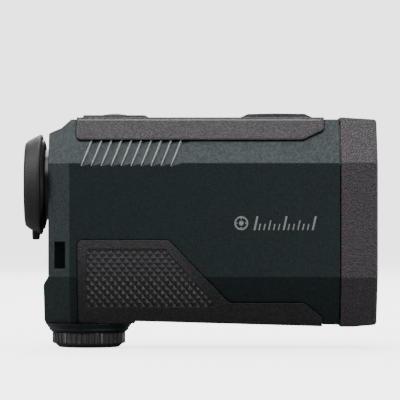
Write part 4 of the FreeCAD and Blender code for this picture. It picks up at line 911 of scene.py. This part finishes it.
def makePrintMark(name, side, foot, material):
    values = printMark
    radius = values["height"] / 2
    centre = (values["left"] + radius, foot + radius)
    inner = radius - values["ringWide"]
    outlines = arcOutlines(radius, inner, 0, 360, values["ringPieces"], centre)
    outlines += arcOutlines(*values["dot"], 0, 360, values["dotPieces"], centre)
    for angle in (0, 90, 180, 270):
        turn = math.radians(angle)
        along = Vector((math.cos(turn), math.sin(turn)))
        half = Vector((-math.sin(turn), math.cos(turn))) * values["armHalf"]
        near, far = [Vector(centre) + along * (radius - inside) for inside in values["arm"]]
        outlines.append([near - half, far - half, far + half, near + half])
    start = values["left"] + values["height"] + values["gap"]
    pitch = (values["right"] - start - values["endGap"]) / (len(values["ticks"]) - 1)
    for index, share in enumerate(values["ticks"]):
        x = start + index * pitch
        tall = values["height"] * share
        shift = tall * values["italic"]
        wide = values["longTickWide"] if share == 1.0 else values["tickWide"]
        outlines.append([(x, foot), (x + wide, foot), (x + wide + shift, foot + tall),
                         (x + shift, foot + tall)])
    bm = bmesh.new()
    levels = (-skin / mm - values["sink"], -skin / mm + values["thick"])
    for outline in outlines:
        skinRings(bm, [[bm.verts.new((x * mm, side * y * mm, z * mm)) for x, z in outline]
                       for y in levels])
    linkPiece(name, bmeshToMesh(bm, name), material, "housing")


greyInk = palePaint("greyInk", *printMark["tones"])
makePrintMark("printMarkRight", -1, printMark["foot"], greyInk)
makePrintMark("printMarkLeft", 1, printMark["footLeft"], greyInk)
print("stage: printed marks made")


# soft eyecup with a rolled rim and a finger tab

eyecupShape = {
    "profile": [                             # (forward of the cup's rear, radius)
        (0.62, 10.35), (0.40, 10.7), (0.15, 11.2), (0.02, 11.8), (0.0, 12.4), (0.12, 13.0),
        (0.45, 13.5), (0.85, 13.85), (1.6, 14.30), (2.6, 14.85), (3.5, 15.3), (4.05, 15.62),
        (4.4, 15.76), (4.75, 15.74), (5.0, 15.55), (5.15, 15.2), (5.3, 14.7), (5.34, 13.9),
        (5.34, 13.05), (5.34, 12.99), (3.0, 12.99), (0.66, 12.99), (0.66, 12.6), (0.66, 10.9),
        (0.66, 10.4),
    ],
    "segments": 96,
    "bow": 0.35, "bowFrom": 13.0, "bowFull": 15.8,  # the rim bows forward at top and bottom
    "tabWide": 1.7, "tabRear": 2.1, "tabFront": 4.6,
    "tabRings": ((14.4, 1.0), (15.6, 1.0), (16.7, 0.95), (17.2, 0.85), (17.38, 0.6)),
    "tabOutline": ((-1, -0.6), (-0.6, -1), (0.6, -1), (1, -0.6),
                   (1, 0.6), (0.6, 1), (-0.6, 1), (-1, 0.6)),
    "finish": dict(rubber, dark=(0.0070, 0.0058, 0.0074), light=(0.0135, 0.0114, 0.0141),
                   pebbles=3000.0, pebbleDepth=0.00005, pebbleStrength=0.35, edgeShare=0.12,
                   dustShare=0.06, gloss=(0.5, 0.66), edgeRadius=0.0005),
}


def makeEyecup():
    bm = bmesh.new()
    values = eyecupShape
    rings = []
    for along, radius in values["profile"]:
        ring = []
        for index in range(values["segments"]):
            angle = 2 * math.pi * index / values["segments"]
            y, z = radius * math.cos(angle), radius * math.sin(angle)
            bend = 0.0
            if radius > values["bowFrom"]:
                bend = values["bow"] * (z / values["bowFull"]) ** 2
            ring.append(bm.verts.new((eyeTail + (along + bend) * mm, y * mm, eyeHeight + z * mm)))
        rings.append(ring)
    skinRings(bm, rings, closed=True)
    centre = (values["tabRear"] + values["tabFront"]) / 2
    tabRings = []
    for drop, shrink in values["tabRings"]:
        halfLong = (values["tabFront"] - values["tabRear"]) / 2 * shrink
        halfWide = values["tabWide"] * shrink
        ring = []
        for dx, dy in values["tabOutline"]:
            x = eyeTail + (centre + dx * halfLong) * mm
            ring.append(bm.verts.new((x, dy * halfWide * mm, eyeHeight - drop * mm)))
        tabRings.append(ring)
    skinRings(bm, tabRings)
    mesh = bmeshToMesh(bm, "eyecupRubber")
    smoothFaces(mesh, 40)
    finish = pebbledRubber("smoothEyecupRubber", values["finish"])
    piece = linkPiece("eyecupRubber", mesh, finish, "diopter_control")
    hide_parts("eyecup")


makeEyecup()
print("stage: eyecup made")


# grip ribs round the battery cap

capRibs = {
    "count": 40, "foot": 1.25 * mm, "swell": 0.3 * mm, "shoulder": 0.0044, "crown": 0.0046,
    "shares": (0.25, 1.0, 1.0, 0.4),         # how proud the rib is at each of those heights
    "proud": 0.17 * mm, "sink": 0.35 * mm, "halfRoot": 0.62 * mm, "halfCrest": 0.30 * mm,
    "finish": dict(plasticWork["ribbed_cap"], dark=(0.030, 0.027, 0.031),
                   light=(0.060, 0.054, 0.062), gloss=(0.12, 0.22)),
}


def makeCapRibs():
    values = capRibs
    low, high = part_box("battery_cap")
    radius = (high.y - low.y) / 2
    centreX, centreY = (low.x + high.x) / 2, (low.y + high.y) / 2
    foot = low.z + values["foot"]
    heights = (foot, foot + values["swell"], values["shoulder"], values["crown"])
    root, crest, sink = values["halfRoot"], values["halfCrest"], values["sink"]
    bm = bmesh.new()
    for rib in range(values["count"]):
        turn = 2 * math.pi * (rib + 0.5) / values["count"]
        out = Vector((math.cos(turn), math.sin(turn)))
        across = Vector((-out.y, out.x))
        rings = []
        for z, share in zip(heights, values["shares"]):
            proud = values["proud"] * share
            ring = []
            for half, reach in ((-root, -sink), (-crest, proud), (crest, proud), (root, -sink)):
                place = out * (radius + reach) + across * half
                ring.append(bm.verts.new((centreX + place.x, centreY + place.y, z)))
            rings.append(ring)
        skinRings(bm, rings)
    finish = mouldedPlastic("ribGloss", values["finish"])
    linkPiece("capRibs", bmeshToMesh(bm, "capRibs"), finish, "cap_assembly")


makeCapRibs()
print("stage: cap ribs made")


# raised symbols on the two buttons

buttonMark = {
    "rise": 0.12, "sink": 0.08, "dropFrom": 0.2,
    "powerArc": (2.3, 1.85, 35, 290, 28),    # outer and inner radius, start, sweep, pieces
    "powerBar": (0.4, 2.9, 0.22),            # from, to, half its width
    "modeArcs": ((1.9, 1.5, 20, 140, 14), (1.9, 1.5, 200, 140, 14), (0.55, 0.05, 0, 360, 12)),
    "tones": ((0.20, 0.20, 0.205), (0.30, 0.30, 0.31)),
}


def dropOnto(node, x, y):
    hit, place = nodes[node].ray_cast((x, y, buttonMark["dropFrom"]), (0, 0, -1))[:2]
    return place.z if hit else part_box(node)[1].z


def makeButtonMark(name, node, body, outlines, material):
    low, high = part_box(node)
    centreX, centreY = (low.x + high.x) / 2, (low.y + high.y) / 2
    bm = bmesh.new()
    for outline in outlines:
        under, over = [], []
        for x, y in outline:
            px, py = centreX + x * mm, centreY + y * mm
            surface = dropOnto(node, px, py)
            under.append(bm.verts.new((px, py, surface - buttonMark["sink"] * mm)))
            over.append(bm.verts.new((px, py, surface + buttonMark["rise"] * mm)))
        skinRings(bm, [under, over])
    linkPiece(name, bmeshToMesh(bm, name), material, body)


paleMark = palePaint("paleButtonMark", *buttonMark["tones"])
near, far, half = buttonMark["powerBar"]
powerSign = arcOutlines(*buttonMark["powerArc"])
powerSign.append([(near, -half), (far, -half), (far, half), (near, half)])
makeButtonMark("powerSign", "power_button", "power_key", powerSign, paleMark)
modeSign = [outline for arc in buttonMark["modeArcs"] for outline in arcOutlines(*arc)]
makeButtonMark("modeSign", "mode_button", "mode_key", modeSign, paleMark)
print("stage: button symbols made")
